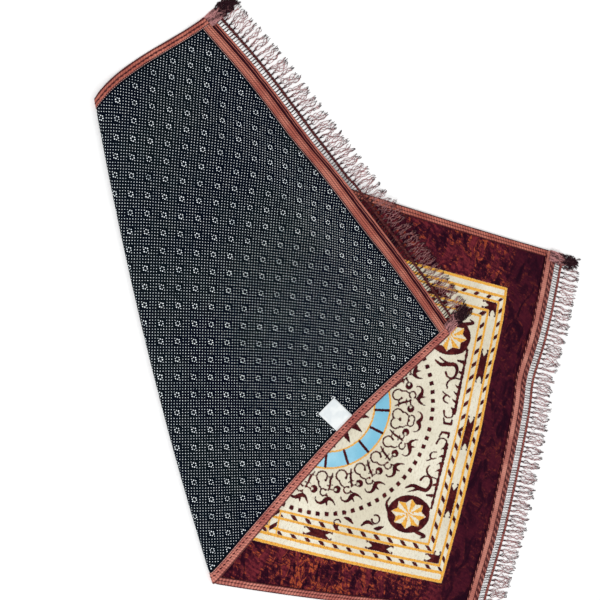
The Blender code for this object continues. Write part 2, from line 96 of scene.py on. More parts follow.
# how far each binding reaches over the back and over the pile; the top side's is drawn tighter
SIDE_LEG, TOP_LEG, END_LEG, END_B_LEG = mm(17, 14), mm(14, 14), mm(13, 13), mm(15, 13)
BINDING_HEIGHT, BINDING_THICK = mm(5.2, 1.0)
PRESSED = 6 * MM                               # the cloth thins towards a binding over this
FOLD_U_TOP, FOLD_U_BOTTOM, BARREL, BEND = mm(900, 522, 10.6, 7)
SETTLE, STEP, EDGE_CLEAR, SWELL_EASE = mm(70, 60, 4, 30)
UPPER_ON_RUG, UPPER_ON_EDGE, UPPER_ON_FLOOR = mm(10.1, 12.6, 5.2)
TAPE_LIFT, LIFT_FROM, LIFT_OVER = mm(1.3, 50, 30)
# each soft swell of the upper layer: distance from the fold, place along it, half-widths, height
SWELLS = [(0.055, 0.20, 0.040, 0.120, 2.4 * MM), (0.090, 0.47, 0.050, 0.150, 2.0 * MM),
          (0.050, 0.68, 0.035, 0.090, 2.6 * MM), (0.230, 0.36, 0.070, 0.160, 1.4 * MM),
          (0.360, 0.60, 0.060, 0.130, 1.5 * MM)]
# each edge's bow: how far out, how much it leans towards the first corner, how narrow it is
BOWS = dict(fold=(12.9, 0.0, 1), end_a=(3.4, 1.2, 1), lower_top=(-7.8, 0.0, 1),
            lower_bottom=(6.6, 0.0, 1), end_b=(13.4, 0.0, 1), upper_top=(8.0, 1.2, 1),
            upper_bottom=(-12.5, -0.3, 2))
PLAN_MIDDLE = np.array((-0.41895, -0.22836))
SLANT = WIDTH / math.hypot(WIDTH, FOLD_U_TOP - FOLD_U_BOTTOM)
HALF_ARC = BEND * math.pi / 2
# the ends are a little wavy where the trims pull at the cloth: how far each edge is drawn in, at
# every 50 mm across the rug
DRAWN_A = np.array((-1, -1, -1, 0, 4, 10.5, 3, 0, -1.5, -2.5, -3, -2.7, 0.8, 5.5, 9)) * MM
DRAWN_B = np.array((2, 2, 2, 3.5, 6, 8.5, 9.3, 10, 10.5, 9.8, 8, 7.2, 7, 7, 7)) * MM
DRAWN_A_FROM, DRAWN_A_OVER, DRAWN_B_FROM, DRAWN_B_OVER, DRAWN_SOFT = mm(30, 70, 1020, 90, 15)
print("the flat rug is", WIDTH, "by", LENGTH, "m")

# %% [markdown]
# Seen from above, each layer of the laid rug has four edges, and none of them is straight. A
# plain rectangle would look cut with a knife, and moving single points by hand would crease it.
# So each edge is a line with a soft bow, and a patch fills the space between four of them.


# %% Edges of the laid rug, seen from above
def smooth(x):
    """Goes softly from 0 to 1 while x goes from 0 to 1."""
    x = np.clip(x, 0.0, 1.0)
    return x * x * (3.0 - 2.0 * x)


def mix(a, b, x):
    return a + (b - a) * x


def barrel(u):
    """The rug is this much wider on each side at u."""
    return BARREL * 4 * (u / LENGTH) * (1 - u / LENGTH)


def mirrored(point, start, end):
    along = (end - start) / np.linalg.norm(end - start)
    offset = point - start
    return start + 2 * np.dot(offset, along) * along - offset


FOLD_TOP = np.array((-FOLD_U_TOP, barrel(FOLD_U_TOP)))
FOLD_BOTTOM = np.array((-FOLD_U_BOTTOM, -WIDTH - barrel(FOLD_U_BOTTOM)))
A_TOP, A_BOTTOM = np.array((0.0, 0.0)), np.array((0.0, -WIDTH))
B_TOP = mirrored(np.array((-LENGTH, 0.0)), FOLD_TOP, FOLD_BOTTOM)
B_BOTTOM = mirrored(np.array((-LENGTH, -WIDTH)), FOLD_TOP, FOLD_BOTTOM)


def bowed(edge, start, end, side):
    """A function of 0..1 that runs from start to end with the bow of the named edge."""
    far, lean, narrow = BOWS[edge]
    along = (end - start) / np.linalg.norm(end - start)
    out = np.array((-along[1], along[0])) * side * far * MM

    def at(t):
        t = np.asarray(t, float)[..., None]
        hump = 4 * t * (1 - t)
        if narrow > 1:
            hump = hump * abs(hump)
        return start + (end - start) * t + out * hump * (1 + lean * (1 - 2 * t))
    return at


def patch(fold, end, top, bottom):
    """A function of (s, t) that fills four bowed edges; s leaves the fold, t leaves the top."""
    def at(s, t):
        s, t = np.asarray(s, float), np.asarray(t, float)
        sn, tn = s[..., None], t[..., None]
        across = fold(t) * (1 - sn) + end(t) * sn
        along = top(s) * (1 - tn) + bottom(s) * tn
        first = fold(0.0) * (1 - tn) + fold(1.0) * tn
        last = end(0.0) * (1 - tn) + end(1.0) * tn
        return across + along - (first * (1 - sn) + last * sn)
    return at


fold_edge = bowed("fold", FOLD_TOP, FOLD_BOTTOM, -1)
lower_top_edge = bowed("lower_top", FOLD_TOP, A_TOP, 1)
lower_plan = patch(fold_edge, bowed("end_a", A_TOP, A_BOTTOM, 1), lower_top_edge,
                   bowed("lower_bottom", FOLD_BOTTOM, A_BOTTOM, -1))
upper_plan = patch(fold_edge, bowed("end_b", B_TOP, B_BOTTOM, 1),
                   bowed("upper_top", FOLD_TOP, B_TOP, 1),
                   bowed("upper_bottom", FOLD_BOTTOM, B_BOTTOM, -1))
print("corners of the upper layer's end:", B_TOP.round(3), B_BOTTOM.round(3))

# %% [markdown]
# A cloth simulation could fold the rug, but its result would not match the solids point by
# point. A rule does: the lower layer lies on the floor, the fold is a half circle as seen from
# its end, and the upper layer comes down from it in a long slope, with a few soft swells, over
# the lower layer's edge. lay() is that rule, and all the pieces below go through it.


# %% From the flat rug to the folded one
def fold_at(v):
    """u of the fold line at v."""
    return mix(FOLD_U_TOP, FOLD_U_BOTTOM, v / WIDTH)


def from_fold(u, v):
    """Distance from the fold line on the flat rug; the upper layer is positive."""
    return (u - fold_at(v)) * SLANT


def inside_lower_top(x, y):
    """How far a plan point lies inside the lower layer's top side."""
    t = (x - FOLD_TOP[0]) / (A_TOP[0] - FOLD_TOP[0])
    return lower_top_edge(t)[..., 1] - y


def plan_of(u, v):
    distance = abs(from_fold(u, v))
    inset = np.where(distance < HALF_ARC,
                     BEND * (1 - np.cos(np.minimum(distance, HALF_ARC) / BEND)),
                     distance - HALF_ARC + BEND)
    above = u > fold_at(v)
    reach = np.where(above, LENGTH - fold_at(v), fold_at(v)) * SLANT
    s = (inset + (HALF_ARC - BEND) * distance / reach) / reach
    return np.where(above[..., None], upper_plan(s, v / WIDTH), lower_plan(s, v / WIDTH))


def swell_height(u, v):
    out = from_fold(u, v)
    along = v / SLANT + (u - fold_at(v)) * math.sqrt(1 - SLANT * SLANT)
    total = sum(high * np.exp(-((out - a) / wide) ** 2 - ((along - b) / long) ** 2)
                for a, b, wide, long, high in SWELLS)
    return total * smooth((out - HALF_ARC) / SWELL_EASE)


def drawn(v, table):
    """A soft line through the values of a table."""
    at = np.linspace(0, WIDTH, len(table))
    return sum(np.interp(v + step, at, table) for step in (-DRAWN_SOFT, 0.0, DRAWN_SOFT)) / 3


def surface(u, v):
    """Where the outer face of the backing lies."""
    u, v = np.broadcast_arrays(np.asarray(u, float), np.asarray(v, float))
    u = (u + drawn(v, DRAWN_A) * (1 - smooth((u - DRAWN_A_FROM) / DRAWN_A_OVER))
         - drawn(v, DRAWN_B) * smooth((u - DRAWN_B_FROM) / DRAWN_B_OVER))
    plan = plan_of(u, v)
    distance = from_fold(u, v)
    inside = inside_lower_top(plan[..., 0], plan[..., 1])
    height = mix(UPPER_ON_FLOOR, UPPER_ON_EDGE, smooth((inside + EDGE_CLEAR + STEP) / STEP))
    height -= (UPPER_ON_EDGE - UPPER_ON_RUG) * smooth((inside - SIDE_LEG[1] - EDGE_CLEAR) / STEP)
    height += TAPE_LIFT * smooth((u - BODY_END + LIFT_FROM) / LIFT_OVER)
    settled = smooth((distance - HALF_ARC) / SETTLE)
    upper = mix(2 * BEND, height, settled) + swell_height(u, v)
    bend = BEND * (1 + np.sin(np.clip(distance, -HALF_ARC, HALF_ARC) / BEND))
    z = np.where(distance < HALF_ARC, bend, upper)
    return np.concatenate((plan - PLAN_MIDDLE, z[..., None]), axis=-1)


def facing(u, v):
    """The direction that goes through the rug from its backing to its pile."""
    step = 0.4 * MM
    along = surface(u + step, v) - surface(u - step, v)
    across = surface(u, v + step) - surface(u, v - step)
    way = np.cross(along, across)
    return way / np.linalg.norm(way, axis=-1, keepdims=True)


def lay(u, v, h):
    """Where the point (u, v, h) of the flat rug lies."""
    u, v, h = np.broadcast_arrays(*(np.asarray(x, float) for x in (u, v, h)))
    return surface(u, v) + facing(u, v) * h[..., None]


print("a corner of the cloth lies at", lay(BODY_START, 0.0, 0.0).round(4))

# %% [markdown]
# Finishes and repeated parts are both made with nodes. Building nodes by hand takes a line for
# each node and each link, which hides the idea. Two small classes let a finish be written as
# sums: Link stands for what comes out of a node, and Tree adds a node in one call.


# %% Sums that become nodes
class Link:
    """What comes out of a node. Sums of Links add Math nodes to the tree."""

    def __init__(self, tree, socket):
        self.tree, self.socket = tree, socket

    def math(self, operation, *values):
        return self.tree.node("ShaderNodeMath", dict(operation=operation), dict(enumerate(values)))

    __add__ = __radd__ = lambda self, other: self.math("ADD", self, other)
    __mul__ = __rmul__ = lambda self, other: self.math("MULTIPLY", self, other)
    __sub__ = lambda self, other: self.math("SUBTRACT", self, other)
    __rsub__ = lambda self, other: self.math("SUBTRACT", other, self)
    __truediv__ = lambda self, other: self.math("DIVIDE", self, other)
    __rtruediv__ = lambda self, other: self.math("DIVIDE", other, self)
    __abs__ = lambda self: self.math("ABSOLUTE", self)

    def wave(self):
        """The sine of this number."""
        return self.math("SINE", self)

    def within(self, low, high):
        """Goes softly from 0 to 1 while this number goes from low to high."""
        return self.tree.node("ShaderNodeMapRange", dict(interpolation_type="SMOOTHSTEP"),
                              {0: self, 1: low, 2: high, 3: 0.0, 4: 1.0})


class Tree:
    """A node tree that is written one call at a time."""

    def __init__(self, nodes):
        self.tree = nodes

    def node(self, kind, settings=None, sockets=None, out=0):
        """Adds a node, then its settings, then its values and links; gives one of its outputs."""
        made = self.tree.nodes.new(kind)
        for name, value in (settings or {}).items():
            setattr(made, name, value)
        for key, value in (sockets or {}).items():
            if isinstance(value, Link):
                self.tree.links.new(value.socket, made.inputs[key])
            else:
                made.inputs[key].default_value = value
        return Link(self, made.outputs[out])

    def noise(self, where, scale, detail=2.0, out=0, roughness=0.5, distortion=0.0):
        """A cloudy number from about 0.25 to 0.75."""
        return self.node("ShaderNodeTexNoise", None,
                         {"Vector": where, "Scale": scale, "Detail": detail,
                          "Roughness": roughness, "Distortion": distortion}, out)

    def vector(self, operation, *values):
        return self.node("ShaderNodeVectorMath", dict(operation=operation),
                         dict(enumerate(values)))


print("a Link takes part in + - * / and abs()")

# %% [markdown]
# A finish says what light meets: a colour, a roughness and a fine relief. Photographs of cloth
# could be wrapped round the pieces, but noise and waves have no edge and can be changed by one
# number. Finish starts each material in the same way and links only what varies over the piece.


# %% Finishes
class Finish(Tree):
    """A material with one main shader."""

    def __init__(self, name, roughness=0.8, specular=0.25, sheen=0.0, sheen_tint=(1, 1, 1, 1)):
        self.material = bpy.data.materials.new(name)
        self.material.use_nodes = True
        super().__init__(self.material.node_tree)
        self.shader = self.tree.nodes["Principled BSDF"]
        for label, value in {"Roughness": roughness, "Specular IOR Level": specular,
                             "Sheen Weight": sheen, "Sheen Roughness": 0.4,
                             "Sheen Tint": sheen_tint}.items():
            self.shader.inputs[label].default_value = value

    def place(self):
        """Where a point of the piece is, in metres."""
        return self.node("ShaderNodeTexCoord", out=3)

    def flat(self):
        """Where a point is on the piece's own flat pattern, in metres."""
        return self.node("ShaderNodeUVMap", dict(uv_map="flat"))

    def held(self, name):
        """A number that the piece's mesh carries."""
        return self.node("ShaderNodeAttribute", dict(attribute_name=name), out=2)

    def grain(self, where, x, y, detail, **more):
        """Noise that changes faster across one direction than the other."""
        stretched = self.node("ShaderNodeMapping", None, {0: where, 3: (x, y, 1.0)})
        return self.noise(stretched, 1.0, detail, **more)

    def blend(self, share, first, second, how="MIX"):
        """The second colour over the first, by a share of 0..1."""
        return self.node("ShaderNodeMix", dict(data_type="RGBA", blend_type=how),
                         {0: share, 6: first, 7: second}, 2)

    def give(self, colour, roughness=None, bump=None, strength=0.5, distance=0.0005):
        """Links what varies to the main shader."""
        links = {"Base Color": colour, "Roughness": roughness}
        if bump is not None:
            links["Normal"] = self.node("ShaderNodeBump", None, {
                "Strength": strength, "Distance": distance, "Height": bump})
        for label, link in links.items():
            if link is not None:
                self.tree.links.new(link.socket, self.shader.inputs[label])
        return self.material


def tint(*screen):
    """A colour given as 0..255 on the screen, as the shader wants it."""
    shares = [c / 255 for c in screen]
    return (*(c / 12.92 if c <= 0.04045 else ((c + 0.055) / 1.055) ** 2.4 for c in shares), 1.0)


print("terracotta is", [round(c, 3) for c in tint(178, 105, 94)])

# %% [markdown]
# Cloth pieces are grids: rows along the rug, columns across it, each point laid by the rule
# above. The grid keeps its flat place as a UV map, so a weave can follow the cloth round the
# fold, and it may carry numbers for its finish. A helper makes them all, so that every piece has
# the same maps and faces outwards.


# %% Meshes from grids
def add_piece(name, mesh, finish):
    mesh.materials.append(finish)
    mesh.shade_smooth()
    return add_object(name, mesh)


def carry(mesh, **numbers):
    """Stores numbers, one for each point, under their names."""
    for name, values in numbers.items():
        made = mesh.attributes.new(name, "FLOAT", "POINT")
        made.data.foreach_set("value", np.asarray(values, np.float32).ravel())


def grid_mesh(name, points, flat, finish, round_about=False, towards=None, **numbers):
    """A mesh from rows and columns of points, whose faces look in the direction towards.

    round_about closes each row into a ring and caps both ends instead. The flat place of each
    point is kept as the UV map that the finishes read.
    """
    index = np.arange(points.shape[0] * points.shape[1]).reshape(points.shape[:2])
    points = points.reshape(-1, 3)
    if round_about:
        index = np.concatenate((index, index[:, :1]), axis=1)
    quads = np.stack((index[:-1, :-1], index[:-1, 1:], index[1:, 1:], index[1:, :-1]), -1)
    quads = quads.reshape(-1, 4)
    if towards is not None:
        corners = points[quads[0]]
        normal = np.cross(corners[2] - corners[0], corners[3] - corners[1])
        if normal @ towards.reshape(-1, 3)[quads[0, 0]] < 0:
            quads = quads[:, ::-1]
    faces = quads.tolist()
    if round_about:
        faces += [index[0, :-1].tolist()[::-1], index[-1, :-1].tolist()]
    mesh = bpy.data.meshes.new(name)
    mesh.from_pydata(points.tolist(), [], faces)
    if round_about:
        shape = bmesh.new()
        shape.from_mesh(mesh)
        bmesh.ops.recalc_face_normals(shape, faces=shape.faces[:])
        shape.to_mesh(mesh)
        shape.free()
    corner = np.empty(len(mesh.loops), np.int32)
    mesh.loops.foreach_get("vertex_index", corner)
    flat_map = mesh.uv_layers.new(name="flat")
    flat_map.data.foreach_set("uv", np.asarray(flat.reshape(-1, 2), np.float32)[corner].ravel())
    carry(mesh, **numbers)
    print(name, "has", len(mesh.vertices), "points and", len(mesh.polygons), "faces")
    return add_piece(name, mesh, finish)


def cloth_grid(name, u, v, height, finish, over=0, **more):
    """A grid on flat places; it looks out of the pile (over 1) or out of the back (over -1)."""
    towards = facing(u, v) * over if over else None
    return grid_mesh(name, lay(u, v, height), np.stack((u, v), -1), finish, towards=towards,
                     **more)


def spaced(start, end, pitch):
    """Evenly spaced values from start to end, no further apart than pitch."""
    return np.linspace(start, end, max(1, math.ceil((end - start) / pitch)) + 1)


print("0 to 15 in steps of at most 4:", spaced(0, 15, 4))

# %% [markdown]
# The plush face carries a woven design: a cream field with gold lines, barber-pole stripes, a
# main border of brown blocks between arrow-tipped bars, two rosettes with stars, a circle of
# small squares, a ring of scrolls and a blue ring in the middle. A picture could be laid on it,
# but here each form is written as a distance: how far a point of the cloth is from the form's
# edge, in millimetres, negative inside. Distances can be joined, cut and mirrored like cut
# paper, and the finish can roughen their edges as plush does.


# %% Cutting forms out of distances
def strip(x, low, high):
    """A strip from low to high."""
    return abs(x - (low + high) / 2) - (high - low) / 2


def join(*forms):
    return np.minimum.reduce(np.broadcast_arrays(*forms))


def overlap(*forms):
    return np.maximum.reduce(np.broadcast_arrays(*forms))


def nearest(x, pitch, start=0.0):
    """How far x is from the nearest of the places start, start + pitch and so on."""
    return (x - start + pitch / 2) % pitch - pitch / 2


def stroke(x, y, points):
    """A brush stroke through points of (x, y, half-width)."""
    best = np.full(np.shape(x), 9.0)
    for (x0, y0, w0), (x1, y1, w1) in zip(points, points[1:]):
        size = (x1 - x0) ** 2 + (y1 - y0) ** 2
        t = np.clip(((x - x0) * (x1 - x0) + (y - y0) * (y1 - y0)) / size, 0, 1)
        gap = np.hypot(x - x0 - t * (x1 - x0), y - y0 - t * (y1 - y0))
        best = np.minimum(best, gap - w0 - t * (w1 - w0))
    return best


def curl(cx, cy, radius, start, turn, wide=1.2, knob=1.9, shrink=0.25, count=12):
    """A hook that winds round a centre, tighter towards its knobbed end; angles in degrees."""
    points = []
    for k in range(count + 1):
        t = k / count
        angle = math.radians(start + turn * t)
        reach = radius * (1 - shrink * t)
        points.append((cx + reach * math.cos(angle), cy + reach * math.sin(angle),
                       wide if k < count else knob))
    return points


def bent(points, count=5):
    """A smooth line through a few points of (x, y, half-width)."""
    points = [np.array(p, float) for p in points]
    points = [2 * points[0] - points[1]] + points + [2 * points[-1] - points[-2]]
    made = []
    for a, b, c, d in zip(points, points[1:], points[2:], points[3:]):
        for k in range(count):
            t = k / count
            made.append(0.5 * (2 * b + (c - a) * t + (2 * a - 5 * b + 4 * c - d) * t * t
                               + (3 * b - a - 3 * c + d) * t ** 3))
    return made + [points[-2]]


print("a stroke 4 mm wide is", stroke(0.0, 0.0, [(-5, 0, 2), (5, 0, 2)]), "mm deep")

# %% [markdown]
# The border runs round the whole face. Its lines are counted inwards from the outer gold line,
# the same on the ends and on the long sides, which have one more cream band outside. The real
# design bows a little, because the plush was pressed and pulled when it was finished, so its
# edges are bowed here too. The half of the rug that the fold hides repeats the visible half.

# %% Places in the design, in millimetres
BOW_AT = [91, 150, 225, 300, 357, 400, 450, 500, 575, 648]
BOW_BY = [0, 5, 6.5, 8.3, 10.3, 9.3, 8.3, 7.5, 5, 1]
AXIS_Q = 369.0                            # the design is mirrored over this line
MIDDLE_V, HALF_V = 372.5, 280.5           # its middle across the rug, and its half-width there
END_LINE, BORDER_FROM = 89, 88            # the outer gold line at the end, and its corners
NARROWING = 0.059                         # how fast the design narrows towards the fold
BOTTOM_LINE, TOP_LINE = (648.8, 0.030), (91, 0.0606)   # the outer line of each side, its lean


def design_places(u, v):
    """Along the rug from its nearer end, across it, and the distances in from the border."""
    along = np.minimum(u, LENGTH - u) / MM
    past = along - BORDER_FROM
    across = MIDDLE_V + (v / MM - MIDDLE_V) * HALF_V / (HALF_V - NARROWING * past)
    end = along + np.interp(across, BOW_AT, BOW_BY) - END_LINE
    (bottom, bottom_lean), (top, top_lean) = BOTTOM_LINE, TOP_LINE
    side = np.minimum(bottom - bottom_lean * past - across, across - top + top_lean * past)
    return along, across, end, side


middle = design_places(LENGTH / 2, WIDTH / 2)
print("the rug's middle in the design:", [round(float(place), 1) for place in middle])

# %% Border of the design
GOLD_LINES = [(0, 5.4), (12.5, 17.2), (32.6, 37.3), (46.2, 50.4)]
SLASHED = [(5.4, 12.5), (37.3, 46.2)]
MAIN = (17.2, 32.6)
SIDE_SHIFT = 15.6                         # the long sides' own cream band, outside the rest
SLASH_ALL, SLASH_HALF, DIAGONAL = 24.5, 3.3, 0.707
# at the ends and along the sides: pitch and start of the slashes, then of the blocks, and half
# the length of a block before its arrow tip
SLASH_PITCH, SLASH_START = (24.8, 26.8), (20.3, 8.0)
BLOCK_PITCH, BLOCK_START, BLOCK_HALF = (127, 121), (371, 228), (18.5, 14.0)


def slashed(off):
    """A slanted stripe, by how far a point is from its middle along the border."""
    return abs(off) * DIAGONAL - SLASH_HALF


def border(along, across, end, side):
    """Gold lines, and the brown of the slashes and of the blocks between the bars."""
    inner = np.minimum(end, side - SIDE_SHIFT)
    at_end = end < side - SIDE_SHIFT
    gold = join(*(strip(inner, *line) for line in GOLD_LINES),
                strip(np.minimum(end, side), *GOLD_LINES[0]))
    run = np.where(at_end, abs(across - BLOCK_START[0]) + end, along - side + SIDE_SHIFT)
    slash = slashed(nearest(run, np.where(at_end, *SLASH_PITCH), np.where(at_end, *SLASH_START)))
    slashes = join(*(overlap(slash, strip(inner, *line)) for line in SLASHED))
    x = abs(nearest(np.where(at_end, across, along), np.where(at_end, *BLOCK_PITCH),
                    np.where(at_end, *BLOCK_START)))
    tip = np.where(at_end, *BLOCK_HALF)
    y = abs(inner - sum(MAIN) / 2)
    arrow = overlap((x - tip - 1.75 * y) * 0.5, x - tip - 11)
    hook = overlap(strip(x, tip + 10.5, tip + 14), 3.4 - y)
    corner = overlap(strip(end, *MAIN), strip(side - SIDE_SHIFT, *MAIN))
    blocks = join(overlap(join(arrow, hook), strip(inner, *MAIN)), corner)
    return gold, join(slashes, blocks)


print("the border is", GOLD_LINES[-1][1], "mm wide")

# %% [markdown]
# Inside the border stand two rosettes, a large circle of small squares, and a blue ring round
# the middle. They could be cut out of polygons, but all of them are round: a distance from a
# centre and an angle round it give every point of a star or every square of the circle at once.

# %% Rosettes, squares, ring and middle
ROSETTES = [(185.4, 535.3), (185.0, 200.5)]
RING_PLACE = (378.0, 372.0)
OVAL, STAR = (42.6, 34.7, 37), (35.5, 28, 30)      # half-length, half-width, mm to one share
SQUARES_AT, SQUARES_EVERY, SQUARES_FIRST = 195.0, 4.85, 3.0
BLUE_RING, LINE_HALF = (81.5, 111.5), 1.7
SPOKES_EVERY, SPOKE_FIRST, SPOKE_HALF = 22.5, -8, 2.5
WEDGE_FIRST, WEDGE_POINT, WEDGE_RUN, HUB, BLUE_HUB = 3.25, 78, (20, 76), 20, 26
SCROLLS_EVERY = 16.36


def star(x, y, valley=0.74):
    """An eight-pointed star of radius 1, and the side of each point's ridge that is gold."""
    eighth = math.pi / 4
    angle = np.arctan2(y, x)
    fan = abs(nearest(angle, eighth))
    edge = valley * math.sin(eighth / 2) / (np.sin(fan) + valley * np.sin(eighth / 2 - fan))
    return np.hypot(x, y) - edge, nearest(angle, eighth)


def rosettes(along, across):
    brown, gold = 9.0, 9.0
    for x0, y0 in ROSETTES:
        x, y = along - x0, across - y0
        oval = (np.hypot(x / OVAL[0], y / OVAL[1]) - 1) * OVAL[2]
        form, ridge = star(x / STAR[0], y / STAR[1])
        form = form * STAR[2]
        brown = join(brown, overlap(oval, -form))
        half = ridge * np.hypot(x, y) * 0.9
        rim = abs(form + 0.4) - 0.7
        gold = join(gold, overlap(form, half), overlap(rim, oval))
    return brown, gold


def ring(along, across):
    """The circle of squares, the blue ring and the star inside it."""
    x, y = along - RING_PLACE[0], across - RING_PLACE[1]
    radius = np.hypot(x, y)
    angle = np.degrees(np.arctan2(y, -x))
    mirrored_angle = abs(angle + 1.6)
    off = nearest(mirrored_angle, SQUARES_EVERY, SQUARES_FIRST)
    squares = overlap(abs(radius - SQUARES_AT) - 4.2, abs(np.radians(off)) * radius - 4.0)
    low, high = BLUE_RING
    blue = strip(radius, low, high)
    gold = join(abs(radius - low) - LINE_HALF, abs(radius - high) - LINE_HALF)
    spoke = abs(np.radians(nearest(angle, SPOKES_EVERY, SPOKE_FIRST))) * radius - SPOKE_HALF
    brown = join(squares, overlap(spoke, strip(radius, low, high)))
    wedge = abs(np.radians(nearest(angle, SPOKES_EVERY, WEDGE_FIRST))) * radius
    wedge = wedge - (WEDGE_POINT - radius) * 0.28
    brown = join(brown, overlap(wedge, strip(radius, *WEDGE_RUN)))
    blue = join(blue, overlap(radius - BLUE_HUB, -wedge))
    gold = join(gold, abs(radius - HUB) - 1.6)
    return brown, gold, blue, radius, mirrored_angle


print("squares in the circle:", round(360 / SQUARES_EVERY))

# %% [markdown]
# Between the squares and the blue ring lies a ring of scrolls: a leaf, a ball with a hole, a
# small hook and a large hook, repeated round. They could be placed one by one, but a ring
# repeats, so each point is turned back into one segment and only that segment is drawn. Its
# forms, like those beside it, follow the photograph: a few points for each, placed on a
# flattened view of it.

# %% The ring of scrolls
SCROLL_LINES = [
    bent([(179, -19, 0.9), (172, -15, 1.8), (167, -8, 3.2), (169, -1, 4.0), (174, 5, 3.4),
          (175, 12, 2.2), (170, 18, 1.4), (164, 18, 1.2)]),
    [(170, -1, 3.0), (180, -4, 0.9)],
    curl(155, 4, 7.2, -60, 285, 1.5, 2.3),
    [(166, -8, 1.3), (161, -2, 1.3), (158, -2, 1.4)],
    curl(127, 8, 10.4, 30, 285, 1.6, 2.5, 0.08),
    bent([(148, 9, 1.4), (143, 13, 1.5), (136, 14, 1.6)]),
    bent([(152, -5, 1.4), (144, -7, 1.9), (133, -8, 2.1), (120, -12, 1.3)]),
    [(142, -13, 1.1), (143, -2, 1.4)],
    [(127, -14, 1.1), (128, -5, 1.5)],
    [(151, -16, 1.3), (150, -5, 1.5)],
]
BALL, BALL_HOLE = (150.0, -21.0, 7.2), (150.5, -18.2, 2.7)
SCROLL_RING = (112, 188)


def scroll_ring(radius, angle):
    """The scrolls of one segment, and what reaches in from its two neighbours."""
    made = np.full(np.shape(radius), 9.0)
    near = (radius > SCROLL_RING[0]) & (radius < SCROLL_RING[1])
    reach, turned_by = radius[near], angle[near]
    best = np.full(reach.shape, 9.0)
    home = np.maximum(0, np.round(turned_by / SCROLLS_EVERY))
    for beside in (-1, 0, 1):
        turned = np.radians(turned_by - (home + beside) * SCROLLS_EVERY)
        x, y = reach * np.cos(turned), reach * np.sin(turned)
        form = join(*(stroke(x, y, line) for line in SCROLL_LINES))
        ball = overlap(np.hypot(x - BALL[0], y - BALL[1]) - BALL[2],
                       BALL_HOLE[2] - np.hypot(x - BALL_HOLE[0], y - BALL_HOLE[1]))
        best = np.minimum(best, join(form, ball))
    made[near] = best
    return made


print("segments in the ring of scrolls:", round(360 / SCROLLS_EVERY))

# %% [markdown]
# Between the border and the squares lie a comb line with barbs, brackets, and leaf scrolls. They
# do not repeat, so each is a brush stroke through a few points, and a smooth line is led through
# them. Only one half is drawn, because the design is the same on both sides of its middle line.

# %% Comb line, brackets and leaf scrolls beside it
FIELD_LINES = [
    [(142, 385, 1.8), (142, 377.5, 2.2), (156.5, 377.5, 2.0), (160, 387, 1.2)],
    bent([(144, 404, 2.6), (143, 393, 1.4), (150, 388.5, 1.1), (159, 391, 1.3),
          (162.5, 400, 1.9)]),
    bent([(158, 415, 0.9), (166, 417, 1.3), (169.5, 423, 1.7), (165, 429, 1.4),
          (157, 426.5, 1.0)]),
    [(164, 429, 1.2), (174, 434, 1.1)],
    bent([(166, 442, 1.2), (169.5, 449, 1.7), (166, 457, 1.5), (157, 462, 1.2), (146, 463, 1.2)]),
    bent([(177, 470, 2.4), (172, 463.5, 1.5), (163, 461.5, 1.5), (156, 468, 2.4),
          (155.5, 479, 3.2), (162, 487, 3.4), (175, 486, 3.6), (190, 483, 3.0), (203, 489, 1.4)]),
    bent([(176, 487, 2.6), (186, 491, 1.6), (196, 496, 1.0)]),
    [(146, 521, 1.6), (155, 513, 2.6), (167, 506, 0.8)],
    [(148, 495, 3.0), (159, 496, 1.2)],
    bent([(152, 575, 1.0), (144, 570, 2.4), (158, 566, 3.2), (170, 563, 1.0)]),
    bent([(229, 566, 1.0), (238, 571, 3.4), (246, 573, 1.0)]),
    curl(247, 556, 8.4, -60, -290, 1.3, 2.2, 0.15),
    bent([(250, 566, 1.0), (262, 563, 3.4), (272, 572, 1.0)]),
    bent([(288, 571, 1.0), (297, 565, 3.2), (307, 563, 1.0)]),
    curl(318, 575, 6.5, 200, 280, 1.2, 1.9, 0.2),
    bent([(214, 548, 1.4), (224, 538, 3.4), (233, 524, 2.2), (229, 512, 1.3)]),
]
SPINE, SPINE_RUN, BARBS = (57.6, 64.6), (396, 520), [405, 420, 434, 447, 474]


def field(along, across, end):
    """Everything between the border and the circle of squares."""
    y = AXIS_Q + abs(across - AXIS_Q)
    near = (along < 345) & (end > 44)
    best = np.full(along.shape, 9.0)
    x, z = along[near], y[near]
    form = join(*(stroke(x, z, line) for line in FIELD_LINES))
    swell = 1.6 * abs(nearest(z, 13.6, 399)) / 6.8
    spine = overlap(strip(end[near], *SPINE) + swell, strip(z, *SPINE_RUN))
    barbs = join(*(stroke(end[near], z, [(61, b, 3.8), (67, b + 1, 2.0), (71, b + 4, 0.9)])
                   for b in BARBS))
    best[near] = join(form - 0.35, spine, barbs)
    return best


print("the comb line has", 2 * len(BARBS), "barbs, and the field", 2 * len(FIELD_LINES), "forms")

# %% The whole woven design
BAND, BAND_ACROSS = (422.5, 425.5, 438.5, 441.5), (5, 50)


def cross_band(along, side):
    """The slanted stripe that crosses the long border near the fold."""
    across_border = strip(side - SIDE_SHIFT, *BAND_ACROSS)
    gold = overlap(join(strip(along, *BAND[:2]), strip(along, *BAND[2:])), across_border)
    slash = slashed(nearest(side + along, SLASH_ALL))
    return gold, overlap(slash, strip(along, *BAND[1:3]), across_border)


